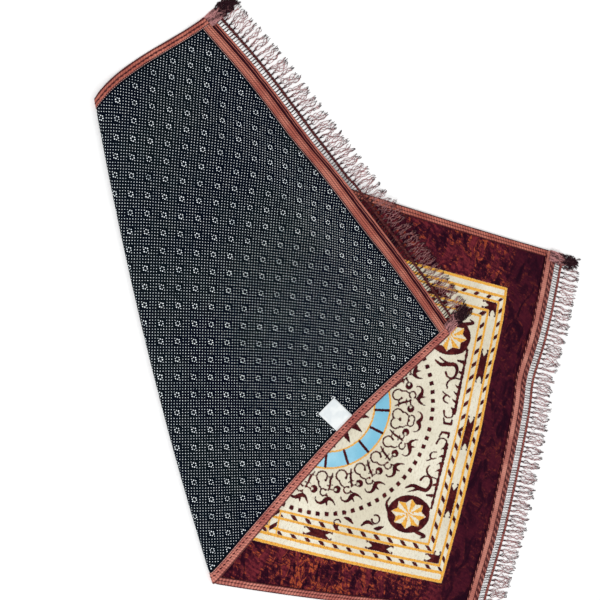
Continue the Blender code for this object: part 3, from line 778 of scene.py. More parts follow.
def woven_design(u, v):
    """Distances of the cream field and of the brown, gold and blue forms."""
    along, across, end, side = design_places(u, v)
    gold, brown = border(along, across, end, side)
    rose_brown, rose_gold = rosettes(along, across)
    ring_brown, ring_gold, blue, radius, angle = ring(along, across)
    band_gold, band_brown = cross_band(along, side)
    band = overlap(strip(along, BAND[0], BAND[3]), strip(side - SIDE_SHIFT, *BAND_ACROSS))
    brown = join(overlap(brown, -band), band_brown, rose_brown, ring_brown,
                 scroll_ring(radius, angle), field(along, across, end))
    gold = join(gold, rose_gold, ring_gold, band_gold)
    cream = -np.minimum(end, side)
    inside = cream + 1.0
    return cream, overlap(brown, inside), overlap(gold, cream), overlap(blue, inside)


middle = woven_design(LENGTH / 2, WIDTH / 2)
print("the rug's middle lies inside the cream field by", round(float(-middle[0]), 1), "mm")

# %% [markdown]
# Plush is thousands of short threads. Modelling each would need millions of faces, so the face
# is a fine sheet whose points rise and fall in small clumps, and its finish does the rest:
# ragged edges between the colours, painted highlight streaks and veins where the pile was
# brushed the other way, and a sheen. The fine points are only needed where the face shows, so
# its columns widen under the upper layer, and they turn along the fold to go round its bend.

# %% Finish of the plush
plush = Finish("plush", roughness=0.85, specular=0.06, sheen=0.03,
               sheen_tint=(1.0, 0.8, 0.75, 1.0))
flat = plush.flat()
fine = plush.noise(flat, 900.0, 1.0)
ragged = (fine - 0.5) * 2.6 + (plush.noise(flat, 300.0, 2.0) - 0.5) * 2.2


def inside_of(name):
    """1 inside a form, 0 outside, along a ragged edge."""
    return 1 - (plush.held(name) + ragged).within(-0.45, 0.45)


patches = plush.grain(flat, 9.0, 7.0, 3.0)
swirls = plush.grain(flat, 46.0, 22.0, 5.0, roughness=0.6, distortion=1.2)
crossed = plush.grain(flat, 330.0, 150.0, 3.0)
slanted = plush.node("ShaderNodeVectorRotate", dict(rotation_type="Z_AXIS"),
                     {"Vector": flat, "Angle": 0.35})
wisps = plush.grain(slanted, 70.0, 200.0, 3.0, roughness=0.6, distortion=0.7)
crushed = plush.held("crushed")
# painted highlights: thin veins and broad streaks where the crushed pile would catch the light
highlight_veins = (0.5 - abs(swirls - 0.5)).within(0.465, 0.5)
sheen_streak = (swirls * 0.30 + wisps * 0.35 + crossed * 0.20 + patches * 0.15).within(0.46, 0.61)
sheen_streak = sheen_streak * crushed
speckle = (fine - 0.5) * 1.6
wine = plush.blend(swirls.within(0.32, 0.60), tint(30, 2, 20), tint(58, 11, 29))
# the wine is lightened by the painted highlight streaks and then by the painted highlight veins
wine = plush.blend(sheen_streak * 0.68, wine, tint(134, 46, 52))
wine = plush.blend(highlight_veins * (patches * 0.4 + wisps * 0.6).within(0.46, 0.60) * crushed * 0.8,
                   wine, tint(196, 92, 46))
cream_tone = plush.blend(patches.within(0.35, 0.65), tint(220, 213, 190), tint(238, 233, 213))
cream_tone = plush.blend(crossed.within(0.48, 0.70) * 0.5, cream_tone, tint(196, 182, 162))
gold_tone = plush.blend(fine.within(0.35, 0.65), tint(222, 148, 46), tint(250, 200, 92))
gold_tone = plush.blend(crossed.within(0.50, 0.66) * 0.5, gold_tone, tint(184, 106, 44))
blue_tone = plush.blend(patches.within(0.40, 0.60), tint(130, 194, 220), tint(168, 220, 240))
# the brown forms take the painted highlight streaks too
brown_tone = plush.blend(sheen_streak, tint(58, 12, 20), tint(100, 36, 34))
colour = wine
for form, tone in (("cream", cream_tone), ("blue", blue_tone), ("gold", gold_tone),
                   ("brown", brown_tone)):
    colour = plush.blend(inside_of(form), colour, tone)
shade = plush.blend((0.5 - speckle * 0.5).within(0.1, 1.0) * 0.45, (1, 1, 1, 1),
                    (0.62, 0.58, 0.58, 1))
colour = plush.blend(1.0, colour, shade, "MULTIPLY")
plush.give(colour, sheen_streak * -0.15 + 0.9, fine + swirls * 1.2, strength=0.7, distance=0.0014)
print("plush has", len(plush.tree.nodes), "nodes")

# %% The plush face
FINE = 2.2 * MM
FINE_START, FINE_END = 17 * MM, 530 * MM
FACE_SIDE = 11 * MM                       # the face begins this far in, under the binding
PILE_OPEN, PILE_PRESSED = 4.3 * MM, 3.9 * MM
# where the painted sheen streaks show: weaker before the border of the first end
CRUSHED_FROM, CRUSHED_OVER, CRUSHED_LEAST = 75 * MM, 40 * MM, 0.22      # brushed past the border


def pressed(u, v):
    """1 where a binding presses the cloth, and 0 in the open cloth."""
    side = np.minimum(v, WIDTH - v) - SIDE_LEG[1]
    end = np.minimum(u - BODY_START, BODY_END - u) - END_LEG[0]
    return 1 - smooth(np.minimum(side, end) / PRESSED)


def columns_of(v, near, far, *counts):
    """u of each column at v: fine ones, coarse ones to the bend, round it, and to the end."""
    half = HALF_ARC / SLANT
    start, stop = fold_at(v) - half, fold_at(v) + half
    stops = (near, np.minimum(FINE_END, start - 1 * MM), start, stop, far)
    parts = [a + (b - a) * t for a, b, count in zip(stops, stops[1:], counts)
             for t in np.linspace(0, 1, count)[:-1]]
    return np.stack(parts + [stop + (far - stop)], axis=0)


face_v = spaced(FACE_SIDE, WIDTH - FACE_SIDE, FINE)
face_u = columns_of(face_v, FINE_START, LENGTH - FINE_START,
                    int((FINE_END - FINE_START) / FINE), 14, 11, 26)
face_v = np.broadcast_to(face_v, face_u.shape)
height = mix(PILE_OPEN, PILE_PRESSED, pressed(face_u, face_v))
cream_d, brown_d, gold_d, blue_d = woven_design(face_u, face_v)
# share of the painted sheen streaks, weaker near the first end
crushed = mix(CRUSHED_LEAST, 1.0, smooth((face_u - CRUSHED_FROM) / CRUSHED_OVER))
smooth_face = cloth_grid("smooth_face", face_u, face_v, height, plush.material, over=1,
                         cream=cream_d, brown=brown_d, gold=gold_d, blue=blue_d, crushed=crushed)

# %% [markdown]
# Ribs, clumps, stitches, dots and yarn all repeat, so Geometry Nodes make them. A recipe is a
# node tree with named sizes; grow() sets its sizes on a base piece, runs it, and keeps the
# result as a plain mesh, because the finished model holds no modifiers and no instances.


# %% Recipes of Geometry Nodes
class Recipe(Tree):
    """A Geometry Nodes tree with named sizes, which starts from a base piece."""

    def __init__(self, name, **sizes):
        super().__init__(bpy.data.node_groups.new(name, "GeometryNodeTree"))
        face = self.tree.interface
        for label, way in (("Base", "INPUT"), ("Result", "OUTPUT")):
            face.new_socket(label, in_out=way, socket_type="NodeSocketGeometry")
        for label, value in sizes.items():
            kind = "NodeSocketInt" if isinstance(value, int) else "NodeSocketFloat"
            face.new_socket(label, in_out="INPUT", socket_type=kind).default_value = value
        face.new_socket("Finish", in_out="INPUT", socket_type="NodeSocketMaterial")
        self.start = self.tree.nodes.new("NodeGroupInput")

    def given(self, label):
        return Link(self, self.start.outputs[label])

    def held(self, name, kind="FLOAT"):
        """A number or a direction that the base piece carries."""
        return self.node("GeometryNodeInputNamedAttribute", dict(data_type=kind), {"Name": name})

    def three(self, x, y, z):
        return self.node("ShaderNodeCombineXYZ", None, {0: x, 1: y, 2: z})

    def moved(self, shape, offset):
        return self.node("GeometryNodeSetPosition", None, {"Geometry": shape, "Offset": offset})

    def scaled(self, direction, amount):
        """A direction times a number."""
        return self.node("ShaderNodeVectorMath", dict(operation="SCALE"),
                         {0: direction, "Scale": amount})

    def end(self, shape):
        """Makes real what was placed, gives it its finish and closes the tree."""
        real = self.node("GeometryNodeRealizeInstances", None, {0: shape})
        soft = self.node("GeometryNodeSetShadeSmooth", None, {"Geometry": real})
        done = self.node("GeometryNodeSetMaterial", None,
                         {"Geometry": soft, "Material": self.given("Finish")})
        self.tree.links.new(done.socket, self.tree.nodes.new("NodeGroupOutput").inputs[0])


def grow(name, recipe, base, finish, **sizes):
    """Runs a recipe on a base piece and keeps the result as a plain mesh."""
    modifier = base.modifiers.new(name, "NODES")
    modifier.node_group = recipe.tree
    sizes["Finish"] = finish
    for item in recipe.tree.interface.items_tree:
        if item.name in sizes:
            modifier[item.identifier] = sizes[item.name]
    bpy.context.view_layer.update()
    evaluated = base.evaluated_get(bpy.context.evaluated_depsgraph_get())
    mesh = bpy.data.meshes.new_from_object(evaluated)
    mesh.name = name
    old = base.data
    bpy.data.objects.remove(base, do_unlink=True)
    bpy.data.meshes.remove(old)
    print(name, "has", sum(len(p.vertices) - 2 for p in mesh.polygons), "triangles")
    return add_object(name, mesh)


print("Blender", bpy.app.version_string, "runs the recipes")

# %% [markdown]
# Plush never lies quite flat: its threads lean together in clumps of a centimetre and of a few
# millimetres. They could be sculpted, but noise that lifts each point along its normal gives
# them everywhere at once, and a second, finer noise breaks their outlines.

# %% Clumps of the plush
clumps = Recipe("clumps", Across=0.011, Depth=0.0008)
where = clumps.node("GeometryNodeInputPosition")
lumps = clumps.noise(where, 1 / clumps.given("Across"), 2.0)
small_lumps = clumps.noise(where, 260.0, 1.0)
rise = ((lumps - 0.5) + (small_lumps - 0.5) * 0.5) * clumps.given("Depth")
normal = clumps.node("GeometryNodeInputNormal")
clumps.end(clumps.moved(clumps.given("Base"), clumps.scaled(normal, rise)))
plush_face = grow("plush_face", clumps, smooth_face, plush.material, Depth=0.0013)

# %% [markdown]
# The back is a thin felt with rows of small rubber dots that keep the rug from sliding. Every
# few rows the dots stand in a small ring, like a flower. Bumps in the finish would be too coarse
# for dots of 2 mm, so each dot is a low cap, with six sides where it shows and with four
# underneath. One recipe sets a cap on every loose point, turned the way the cloth faces there.

# %% Backing felt
felt = Finish("felt", roughness=0.92, specular=0.04)
flat = felt.flat()
fibre = felt.noise(flat, 1400.0, 2.0)
cloud = felt.noise(flat, 7.0, 3.0)
weave = felt.grain(flat, 260.0, 900.0, 1.0)
felt_colour = felt.blend(cloud.within(0.38, 0.62), tint(3, 7, 20), tint(9, 17, 22))
felt_colour = felt.blend(fibre.within(0.50, 0.78) * 0.25, felt_colour, tint(34, 46, 54))
felt.give(felt_colour, fibre * 0.1 + 0.87, fibre + weave * 0.7, strength=0.6, distance=0.0006)

BACK_SIDE, BACK_SUNK = mm(4, 1.3)
BACK_LIFT = 0.36 * MM                     # under the lower layer the felt stands on its dots


def from_binding(u, v):
    """How far a point of the back is from the nearest binding."""
    side = np.minimum(v - TOP_LEG[0], WIDTH - v - SIDE_LEG[0])
    end = np.minimum(u - BODY_START - END_LEG[0], BODY_END - u - END_B_LEG[0])
    return np.minimum(side, end)


def back_height(u, v):
    """Height of the felt: sunk beside a binding, and on its dots where they are underneath."""
    sunk = 1 - smooth(from_binding(u, v) / PRESSED)
    under = 1 - smooth((from_fold(u, v) + HALF_ARC) / (2 * HALF_ARC))
    return BACK_SUNK * sunk + BACK_LIFT * under * (1 - sunk)


back_v = spaced(BACK_SIDE, WIDTH - BACK_SIDE, 6 * MM)
back_u = columns_of(back_v, BODY_START + BACK_SIDE, BODY_END - BACK_SIDE, 88, 48, 15, 92)
back_v = np.broadcast_to(back_v, back_u.shape)
backing_felt = cloth_grid("backing_felt", back_u, back_v, back_height(back_u, back_v),
                          felt.material, over=-1)


# %% Where the dots are
DOT_U, DOT_V = 6.2 * MM, 6.73 * MM        # one cell of the dots, which has one more in its middle
RING_CELLS = 6                            # a flower ring stands every six cells
DOT_START = (1072.5 * MM, 395 * MM)
DOT_SLANT = -0.018                        # the rows lean a little against the rug's sides
DOT_ROWS, DOT_COLUMNS, DOT_SEED = (-185, 15), (-64, 52), 3
RING_CLEAR, PETAL_OUT, PETALS, DOT_CLEAR = 6.6 * MM, 3.5 * MM, 6, 3 * MM


def dot_places():
    """Flat places and sizes of the small dots and of the rings' petals."""
    i, j = np.meshgrid(np.arange(*DOT_ROWS), np.arange(*DOT_COLUMNS), indexing="ij")
    cells = np.concatenate([np.stack((i + s, j + s), -1).reshape(-1, 2) for s in (0.0, 0.5)])
    pitch = np.array((DOT_U, DOT_V))
    half = RING_CELLS / 2
    first = np.round(cells / RING_CELLS) * RING_CELLS
    second = np.round((cells - half) / RING_CELLS) * RING_CELLS + half
    gap = np.minimum(np.linalg.norm((cells - first) * pitch, axis=1),
                     np.linalg.norm((cells - second) * pitch, axis=1))
    small = cells[gap > RING_CLEAR]
    rings = np.concatenate((np.unique(first, axis=0), np.unique(second, axis=0)))
    petals = [rings * pitch + PETAL_OUT * np.array((math.cos(a), math.sin(a)))
              for a in np.linspace(0, 2 * math.pi, PETALS + 1)[:-1]]
    places = np.concatenate([small * pitch] + petals)
    random = np.random.default_rng(DOT_SEED)
    size = np.concatenate([random.uniform(0.92, 1.12, len(small)),
                           random.uniform(1.2, 1.7, PETALS * len(rings))])
    u, v = (places + DOT_START).T
    u = u + DOT_SLANT * (v - DOT_START[1])
    kept = from_binding(u, v) > DOT_CLEAR
    return u[kept], v[kept], size[kept]


dot_u, dot_v, dot_size = dot_places()
print("dots on the back:", len(dot_u))


# %% A shape on every point
def points_mesh(name, points, way, out, size):
    """Loose points that carry a direction along, a direction out and a size."""
    mesh = bpy.data.meshes.new(name)
    mesh.from_pydata(points.tolist(), [], [])
    for label, values in (("way", way), ("out", out)):
        made = mesh.attributes.new(label, "FLOAT_VECTOR", "POINT")
        made.data.foreach_set("vector", np.asarray(values, np.float32).ravel())
    carry(mesh, size=size, tone=np.full(len(points), 0.5))
    return add_object(name, mesh)


def placed(recipe, shape, long, wide, high):
    """One shape on each point of the base, turned and sized as the point says."""
    turn = recipe.node("FunctionNodeAxesToRotation",
                       dict(primary_axis="Z", secondary_axis="X"),
                       {0: recipe.held("out", "FLOAT_VECTOR"),
                        1: recipe.held("way", "FLOAT_VECTOR")})
    size = recipe.held("size")
    return recipe.node("GeometryNodeInstanceOnPoints", None,
                       {"Points": recipe.given("Base"), "Instance": shape, "Rotation": turn,
                        "Scale": recipe.three(size * long, size * wide, high)})


caps = Recipe("caps", Sides=6, Radius=0.001, Height=0.0005)
cap = caps.node("GeometryNodeMeshCone", dict(fill_type="NONE"),
                {"Vertices": caps.given("Sides"), "Radius Top": 0.0, "Radius Bottom": 1.0,
                 "Depth": 1.0})
caps.end(placed(caps, cap, caps.given("Radius"), caps.given("Radius"), caps.given("Height")))
print("the recipe of the caps has", len(caps.tree.nodes), "nodes")

# %% Rubber dots
rubber = Finish("rubber_dots", roughness=0.6)
worn = rubber.noise(rubber.place(), 60.0, 3.0)
speck = rubber.noise(rubber.place(), 700.0, 1.0)
rubber_colour = rubber.blend((worn * 0.5 + speck * 0.5).within(0.34, 0.52), tint(170, 184, 192),
                             tint(246, 252, 255))
rubber.give(rubber_colour, worn * 0.3 + 0.45, speck, strength=0.2, distance=0.0002)

above = from_fold(dot_u, dot_v) > -HALF_ARC * 0.4
grip_dots = []
for name, chosen, sides, high in (("grip_dots_top", above, 6, 0.55 * MM),
                                  ("grip_dots_under", ~above, 4, 0.33 * MM)):
    u, v = dot_u[chosen], dot_v[chosen]
    out = -facing(u, v)
    way = surface(u + MM, v) - surface(u - MM, v)
    base = points_mesh(name + "_places", lay(u, v, back_height(u, v)), way, out, dot_size[chosen])
    grip_dots.append(grow(name, caps, base, rubber.material, Sides=sides, Radius=0.7 * MM,
                          Height=high))

# %% [markdown]
# The four edges are bound with a folded ribbon that has fine ribs across it. On the real rug it
# wraps round the cut edge and shows on both faces. A flat ribbon with a bumpy finish would look
# printed, so each binding is a closed section drawn along its edge, and a recipe raises its
# ribs. Rows of stitches hold it down.


# %% Sections of the bindings
def binding_section(legs):
    """The closed section of a binding as (distance in, height, relief of the ribs)."""
    top, inner = BINDING_HEIGHT, BINDING_THICK
    back, face = ([(mix(reach, 1.3 * MM, t), height) for t in np.linspace(0, 1, 7)]
                  for reach, height in zip(legs, (0.0, top)))
    rounded = [mm(0.45, 0.42), mm(0, 1.56), mm(0, 3.64), mm(0.45, 4.78)]
    outer = back + rounded + face[::-1]
    inside = [(legs[1], top - inner), (inner, top - inner), (inner, inner), (legs[0], inner)]
    return ([(a, b, 0.0 if k in (0, len(outer) - 1) else 1.0) for k, (a, b) in enumerate(outer)]
            + [(a, b, 0.0) for a, b in inside])


ribs = Recipe("ribs", Pitch=0.003, Depth=0.00022)
run = ribs.held("run")
raised = (run * (2 * math.pi) / ribs.given("Pitch") + math.pi / 2).wave() * ribs.held("relief")
normal = ribs.node("GeometryNodeInputNormal")
ribs.end(ribs.moved(ribs.given("Base"), ribs.scaled(normal, raised * ribs.given("Depth"))))
RIB = 3.0 * MM


def ribbed(name, finish, rails, run, depth, **numbers):
    """A closed ribbed piece from its rails, each (points, flat place, relief, distance in)."""
    points, flat, relief, inset = (np.stack(part, 1) for part in zip(*rails))
    base = grid_mesh(name + "_smooth", points, flat, finish, round_about=True,
                     run=np.broadcast_to(run[:, None], relief.shape), relief=relief,
                     inset=inset, **numbers)
    return grow(name, ribs, base, finish, Pitch=RIB, Depth=depth)


print("a binding's section has", len(binding_section(SIDE_LEG)), "points")

# %% [markdown]
# The ribbon is a mottled terracotta with painted shade in the grooves between its ribs. Dark
# lines run along it where its selvedge ends, and on a binding a band of painted shade runs
# round its fold. The lines of its two sides are not the same, so the mesh says how far each
# point is from the edge and on which side it lies, and the finish draws the lines from those
# two numbers.

# %% Finish of the bindings and tapes
# dark thread colour; the same colour paints the shade in the rib grooves and round the fold
SHADE_AND_DARK_THREAD = tint(52, 14, 26)
EDGE_OUT, EDGE_IN = 0.4, 0.3              # how softly a dark line begins and ends


def ribbon_finish(name, base, light, *sides):
    """Ribbed ribbon with painted shade in the grooves between its ribs, and dark lines along it
    that differ between its back and its pile side.

    Each side is its rib (pitch in m, slant, share of painted shade), then its lines (from, to,
    share), which are in mm across the ribbon. On a binding the first line, round the fold, is
    painted shade.
    """
    made = Finish(name, specular=0.06)
    flat = made.flat()
    run, inset, on_face = (made.held(number) for number in ("run", "inset", "on_face"))
    thread = made.grain(flat, 800.0, 800.0, 2.0)
    wander = made.noise(flat, 22.0, 3.0)
    crooked = inset + (made.noise(flat, 60.0, 2.0) - 0.5) * 0.0022
    colour = made.blend(wander.within(0.35, 0.65), tint(*base), tint(*light))
    colour = made.blend(thread.within(0.46, 0.70) * 0.35, colour, SHADE_AND_DARK_THREAD)
    height = thread * 0.6
    for ((pitch, slant, share), *lines), here in zip(sides, (1 - on_face, on_face)):
        rib = ((run + crooked * slant) * (2 * math.pi / pitch)).wave() * 0.5 + 0.5
        # painted shade in the grooves between the ribs
        colour = made.blend(rib * here * share, colour, SHADE_AND_DARK_THREAD)
        height = height + (1 - rib) * here
        # dark lines; on a binding the first one, round the fold, is painted shade
        for low, high, share in lines:
            edge = (crooked.within((low - EDGE_OUT) * MM, (low + EDGE_IN) * MM)
                    * (1 - crooked.within((high - EDGE_IN) * MM, (high + EDGE_OUT) * MM)))
            colour = made.blend(edge * here * share, colour, SHADE_AND_DARK_THREAD)
    return made.give(colour, thread * 0.2 + 0.7, height, strength=0.7, distance=0.0006)


# the rib share and the first line, round the fold, are painted shade
face_side = [(0.0056, 0.5, 0.55), (-1.0, 2.2, 0.9), (6.6, 8.2, 0.6), (12.0, 14.5, 0.9)]
side_ribbon = ribbon_finish(
    "side_ribbon", (182, 102, 92), (216, 138, 122),
    [(0.0050, 0.6, 0.45), (-1.0, 3.2, 0.8), (6.6, 7.6, 0.4), (14.6, 16.0, 0.6)], face_side)
top_ribbon = ribbon_finish(
    "top_ribbon", (178, 98, 84), (208, 126, 108),
    [(0.0050, 0.6, 0.35), (-1.0, 2.8, 0.85), (6.2, 8.4, 0.75), (12.2, 14.5, 0.9)], face_side)
end_ribbon = ribbon_finish(
    "end_ribbon", (186, 102, 86), (216, 136, 116),
    [(0.0044, 0.8, 0.35), (-1.0, 0.8, 0.9), (2.0, 3.8, 0.7), (6.2, 8.2, 0.6), (10.2, 11.6, 0.5),
     (13.4, 15.4, 0.9)],
    [(0.0040, 0.6, 0.5), (-1.0, 1.0, 0.9), (10.5, 13.5, 0.9)])
print("finishes of the bindings are ready")

# %% Side and end bindings
BEND_EASE = 70 * MM


def side_rail(at_bottom, inset, along):
    """Flat places of one line of a side binding; at the bend it runs along with the fold."""
    side = WIDTH if at_bottom else 0.0
    v = np.full(along.shape, abs(side - inset))
    beyond = np.maximum(0.0, abs(along - fold_at(side)) - HALF_ARC / SLANT)
    lean = np.maximum(0.0, 1.0 - beyond / BEND_EASE)
    return along + lean * (fold_at(v) - fold_at(side)), v


def make_binding(name, finish, legs, at_bottom=None, at_b=None):
    """A ribbed binding along a side or along an end, flat on the side that lies underneath."""
    at_side = at_bottom is not None
    start, stop = ((BODY_START, BODY_END) if at_side
                   else (TOP_LEG[0] + 0.2 * MM, WIDTH - SIDE_LEG[0]))
    along = np.arange(start, stop + RIB / 4, RIB / 2)
    section, rails = binding_section(legs), []
    for inset, height, lift in section:
        u, v = side_rail(at_bottom, inset, along) if at_side else (
            np.full(along.shape, BODY_END - inset if at_b else BODY_START + inset), along)
        underneath = (from_fold(u, v) < 0) == (height < BINDING_HEIGHT / 2)
        rails.append((lay(u, v, height), np.stack((u, v), -1), np.where(underneath, 0.0, lift),
                      np.full(along.shape, inset)))
    on_face = [float(height > BINDING_HEIGHT / 2) for _, height, _ in section]
    return ribbed(name, finish, rails, along - along[0], 0.22 * MM,
                  on_face=np.tile(on_face, (len(along), 1)))


bindings = [make_binding("side_binding_top_ribbed", top_ribbon, TOP_LEG, at_bottom=False),
            make_binding("side_binding_bottom_ribbed", side_ribbon, SIDE_LEG, at_bottom=True),
            make_binding("end_binding_a_ribbed", end_ribbon, END_LEG, at_b=False),
            make_binding("end_binding_b_ribbed", end_ribbon, END_B_LEG, at_b=True)]

# %% [markdown]
# Long dark stitches and short pale ones hold the bindings down. Each could be a curve with a
# thickness, but there are hundreds, so each is one small ball stretched to its length and turned
# a little against the row. Only the rows that can be seen are sewn.

# %% Stitches of the bindings
stitch = Recipe("stitches", Long=0.0015, Wide=0.0005, High=0.0004)
bead = stitch.node("GeometryNodeMeshUVSphere", None, {"Segments": 6, "Rings": 4, "Radius": 1.0})
stitch.end(placed(stitch, bead, *(stitch.given(size) for size in ("Long", "Wide", "High"))))


def thread_finish(name, dark, light, roughness=0.6):
    """Yarn or thread, mottled, with the light of each part from its own tone."""
    made = Finish(name, roughness=roughness, specular=0.1)
    mottle = made.noise(made.place(), 240.0, 2.0)
    fibre = made.noise(made.place(), 1500.0, 1.0)
    tone = made.held("tone") + (mottle - 0.5) * 1.1
    colour = made.blend(tone.within(0.05, 0.95), tint(*dark), tint(*light))
    return made.give(colour, fibre * 0.3 + roughness - 0.15, fibre, strength=0.4,
                     distance=0.0002)


dark_thread = thread_finish("dark_thread", (44, 12, 20), (88, 34, 38))
pale_thread = thread_finish("pale_thread", (172, 118, 110), (232, 206, 198))
pink_thread = thread_finish("pink_thread", (128, 66, 62), (196, 124, 110))


def stitch_row(name, finish, u, v, height, turn, long, wide, high=0.4 * MM, over=1):
    """Stitches on flat places; turn is the angle from the row's own direction, in degrees."""
    along = np.gradient(np.stack((u, v), -1), axis=0)
    along /= np.linalg.norm(along, axis=1, keepdims=True)
    sine, cosine = math.sin(math.radians(turn)), math.cos(math.radians(turn))
    way_u = along[:, 0] * cosine - along[:, 1] * sine
    way_v = along[:, 0] * sine + along[:, 1] * cosine
    here = lay(u, v, height)
    ahead = lay(u + way_u * MM, v + way_v * MM, height)
    base = points_mesh(name + "_places", here, ahead - here, facing(u, v) * over,
                       np.ones(len(u)))
    return grow(name, stitch, base, finish, Long=long / 2, Wide=wide / 2, High=high)


stitches = []
for label, at_bottom, leg in (("top", False, TOP_LEG[0]), ("bottom", True, SIDE_LEG[0])):
    for name, finish, inset, pitch, height, turn, size, over in (
            ("back_seam_", dark_thread, leg - 6.2 * MM, 8.4, -0.15 * MM, 18, mm(6.4, 2.6), -1),
            ("back_edge_", pale_thread, leg - 0.3 * MM, 3.4, 0.0, 10, mm(2.4, 1.0), -1),
            ("face_seam_", dark_thread, 7.5 * MM, 5.6, BINDING_HEIGHT + 0.1 * MM, 18,
             mm(4.4, 1.6), 1)):
        u, v = side_rail(at_bottom, inset,
                         np.arange(BODY_START + 4 * MM, BODY_END - 4 * MM, pitch * MM))
        seen = from_fold(u, v) > 0 if over < 0 else from_fold(u, v) < HALF_ARC
        stitches.append(stitch_row(name + label, finish, u[seen], v[seen], height, turn, *size,
                                   over=over))
v = np.arange(SIDE_LEG[0], WIDTH - SIDE_LEG[0], 3.0 * MM)
for name, finish, off, wide in (("end_edge_b", pale_thread, 0.2 * MM, 0.9 * MM),
                                ("end_seam_b", dark_thread, -1.6 * MM, 1.8 * MM)):
    u = np.full(v.shape, BODY_END - END_B_LEG[0] - off)
    stitches.append(stitch_row(name, finish, u, v, 0.0, 15, 2.6 * MM, wide, over=-1))

# %% [markdown]
# A fringe trim is sewn over each end: a woven tape, an open ladder of threads, a chain line, and
# strands of twisted yarn that open into thin curly threads. Each line of yarn could be a tube,
# but real yarn is plied. So a recipe takes plain centre lines, makes several plies of each, winds
# them round it by an angle that the line carries, and gives each a round section.

# %% Recipe of the yarn
yarn = Recipe("plied_yarn", Plies=3, Sides=4, Curl=0.0, Lowest=0.0008)
lines = yarn.node("GeometryNodeMeshToCurve", None, {0: yarn.given("Base")})
many = yarn.node("GeometryNodeDuplicateElements", dict(domain="SPLINE"),
                 {"Geometry": lines, "Amount": yarn.given("Plies")})
ply = Link(yarn, many.socket.node.outputs["Duplicate Index"])
tangent = yarn.node("GeometryNodeInputTangent")
aside = yarn.vector("NORMALIZE", yarn.vector("CROSS_PRODUCT", tangent, (0.0, 0.0, 1.0)))
upward = yarn.vector("CROSS_PRODUCT", aside, tangent)
angle = yarn.held("phase") + ply * (2 * math.pi) / yarn.given("Plies")
angle = angle + (ply * 12.9).wave() * yarn.held("loose") * 1.6
spread = yarn.held("spread")
apart = yarn.three(ply * 0.37, ply * 0.23, ply * 0.61)
tangle = yarn.noise(yarn.vector("ADD", yarn.node("GeometryNodeInputPosition"), apart), 120.0, 1.0,
                    out=1)
tangle = yarn.scaled(yarn.vector("SUBTRACT", tangle, (0.5, 0.5, 0.5)),
                     yarn.held("loose") * yarn.given("Curl"))
sideways = (angle + math.pi / 2).wave()
low_spread = spread.math("MINIMUM", spread * 0.7, yarn.given("Lowest"))
offset = yarn.vector("ADD", yarn.scaled(aside, sideways * spread),
                     yarn.scaled(upward, angle.wave() * low_spread))
offset = yarn.vector("ADD", offset, yarn.vector("MULTIPLY", tangle, (1.0, 1.0, 0.1)))
wound = yarn.moved(many, offset)
section = yarn.node("GeometryNodeCurvePrimitiveCircle", None,
                    {"Resolution": yarn.given("Sides"), "Radius": 1.0})
tubes = yarn.node("GeometryNodeCurveToMesh", None,
                  {"Curve": wound, "Profile Curve": section, "Scale": yarn.held("thick"),
                   "Fill Caps": True})
yarn.end(tubes)
print("the recipe of the yarn has", len(yarn.tree.nodes), "nodes")


def lines_mesh(name, lines):
    """Open lines, each its points and a dict of the numbers that they carry."""
    sizes = [len(points) for points, _ in lines]
    edges = [np.stack((np.arange(size - 1), np.arange(1, size)), -1) + start
             for size, start in zip(sizes, np.cumsum([0] + sizes))]
    mesh = bpy.data.meshes.new(name)
    mesh.from_pydata(np.concatenate([points for points, _ in lines]).tolist(),
                     np.concatenate(edges).tolist(), [])
    for key in lines[0][1]:
        carry(mesh, **{key: np.concatenate([np.broadcast_to(numbers[key], size)
                                            for (_, numbers), size in zip(lines, sizes)])})
    return add_object(name, mesh)

# %% [markdown]
# A trim starts on its binding, as thick cloth that keeps its height, and beyond the tape it
# falls to whatever is under it: the floor at one end, and at the other the lower layer's edge
# and its pile. One function gives that place, so tape, ladder, chain and strands meet.

# %% Places on a trim
TAPE_REACH = mm(10, 12.5)                 # past the binding's edge, at end A and at end B
CHAIN_END, STRAND_LENGTH = mm(28.5, 24.5), mm(43, 37)
FALL_END, TAPE_NEAR, TAPE_THICK = mm(24, 5.5, 1.0)
STRAND_COUNT, STRAND_SWAY = 69, 2.6 * MM
TUFT_WIDTH, TUFT_LENGTH, TUFT_GAP = mm(20, 44, 5)
GROUND_RUG, GROUND_EDGE = mm(4.9, 7.4)
RISE_FROM, RISE_OVER, REST_FROM, REST_OVER = mm(18, 12, 2, 16)


def ground(x, y):
    """Height on which loose strands lie: the floor, the lower layer's edge, or its pile."""
    inside = inside_lower_top(x + PLAN_MIDDLE[0], y + PLAN_MIDDLE[1])
    rise = smooth((inside + RISE_FROM) / RISE_OVER)
    settle = smooth((inside - SIDE_LEG[1] - REST_FROM) / REST_OVER)
    return GROUND_EDGE * rise - (GROUND_EDGE - GROUND_RUG) * settle


def trim_place(at_b, out, v, up):
    """A point of a trim, out past the end binding's edge, and up from its lower face."""
    out, v, up = np.broadcast_arrays(*(np.asarray(x, float) for x in (out, v, up)))
    u = BODY_END + out if at_b else BODY_START - out
    reach = TAPE_REACH[at_b]
    on_tape = lay(u, v, TAPE_NEAR + TAPE_THICK - up if at_b else TAPE_NEAR + up)
    edge_u = BODY_END + reach if at_b else BODY_START - reach
    start = lay(edge_u, v, TAPE_NEAR + TAPE_THICK if at_b else TAPE_NEAR)[..., 2]
    place = surface(u, v)
    floor = ground(place[..., 0], place[..., 1]) if at_b else 0.0
    low = mix(start, floor, smooth((out - reach) / (FALL_END - reach)))
    past = np.stack((place[..., 0], place[..., 1], low + up), -1)
    return np.where((out <= reach)[..., None], on_tape, past)


chain_start = trim_place(False, CHAIN_END[False], 20 * MM, 0.0)
print("the chain line of the first trim starts at", chain_start.round(4))

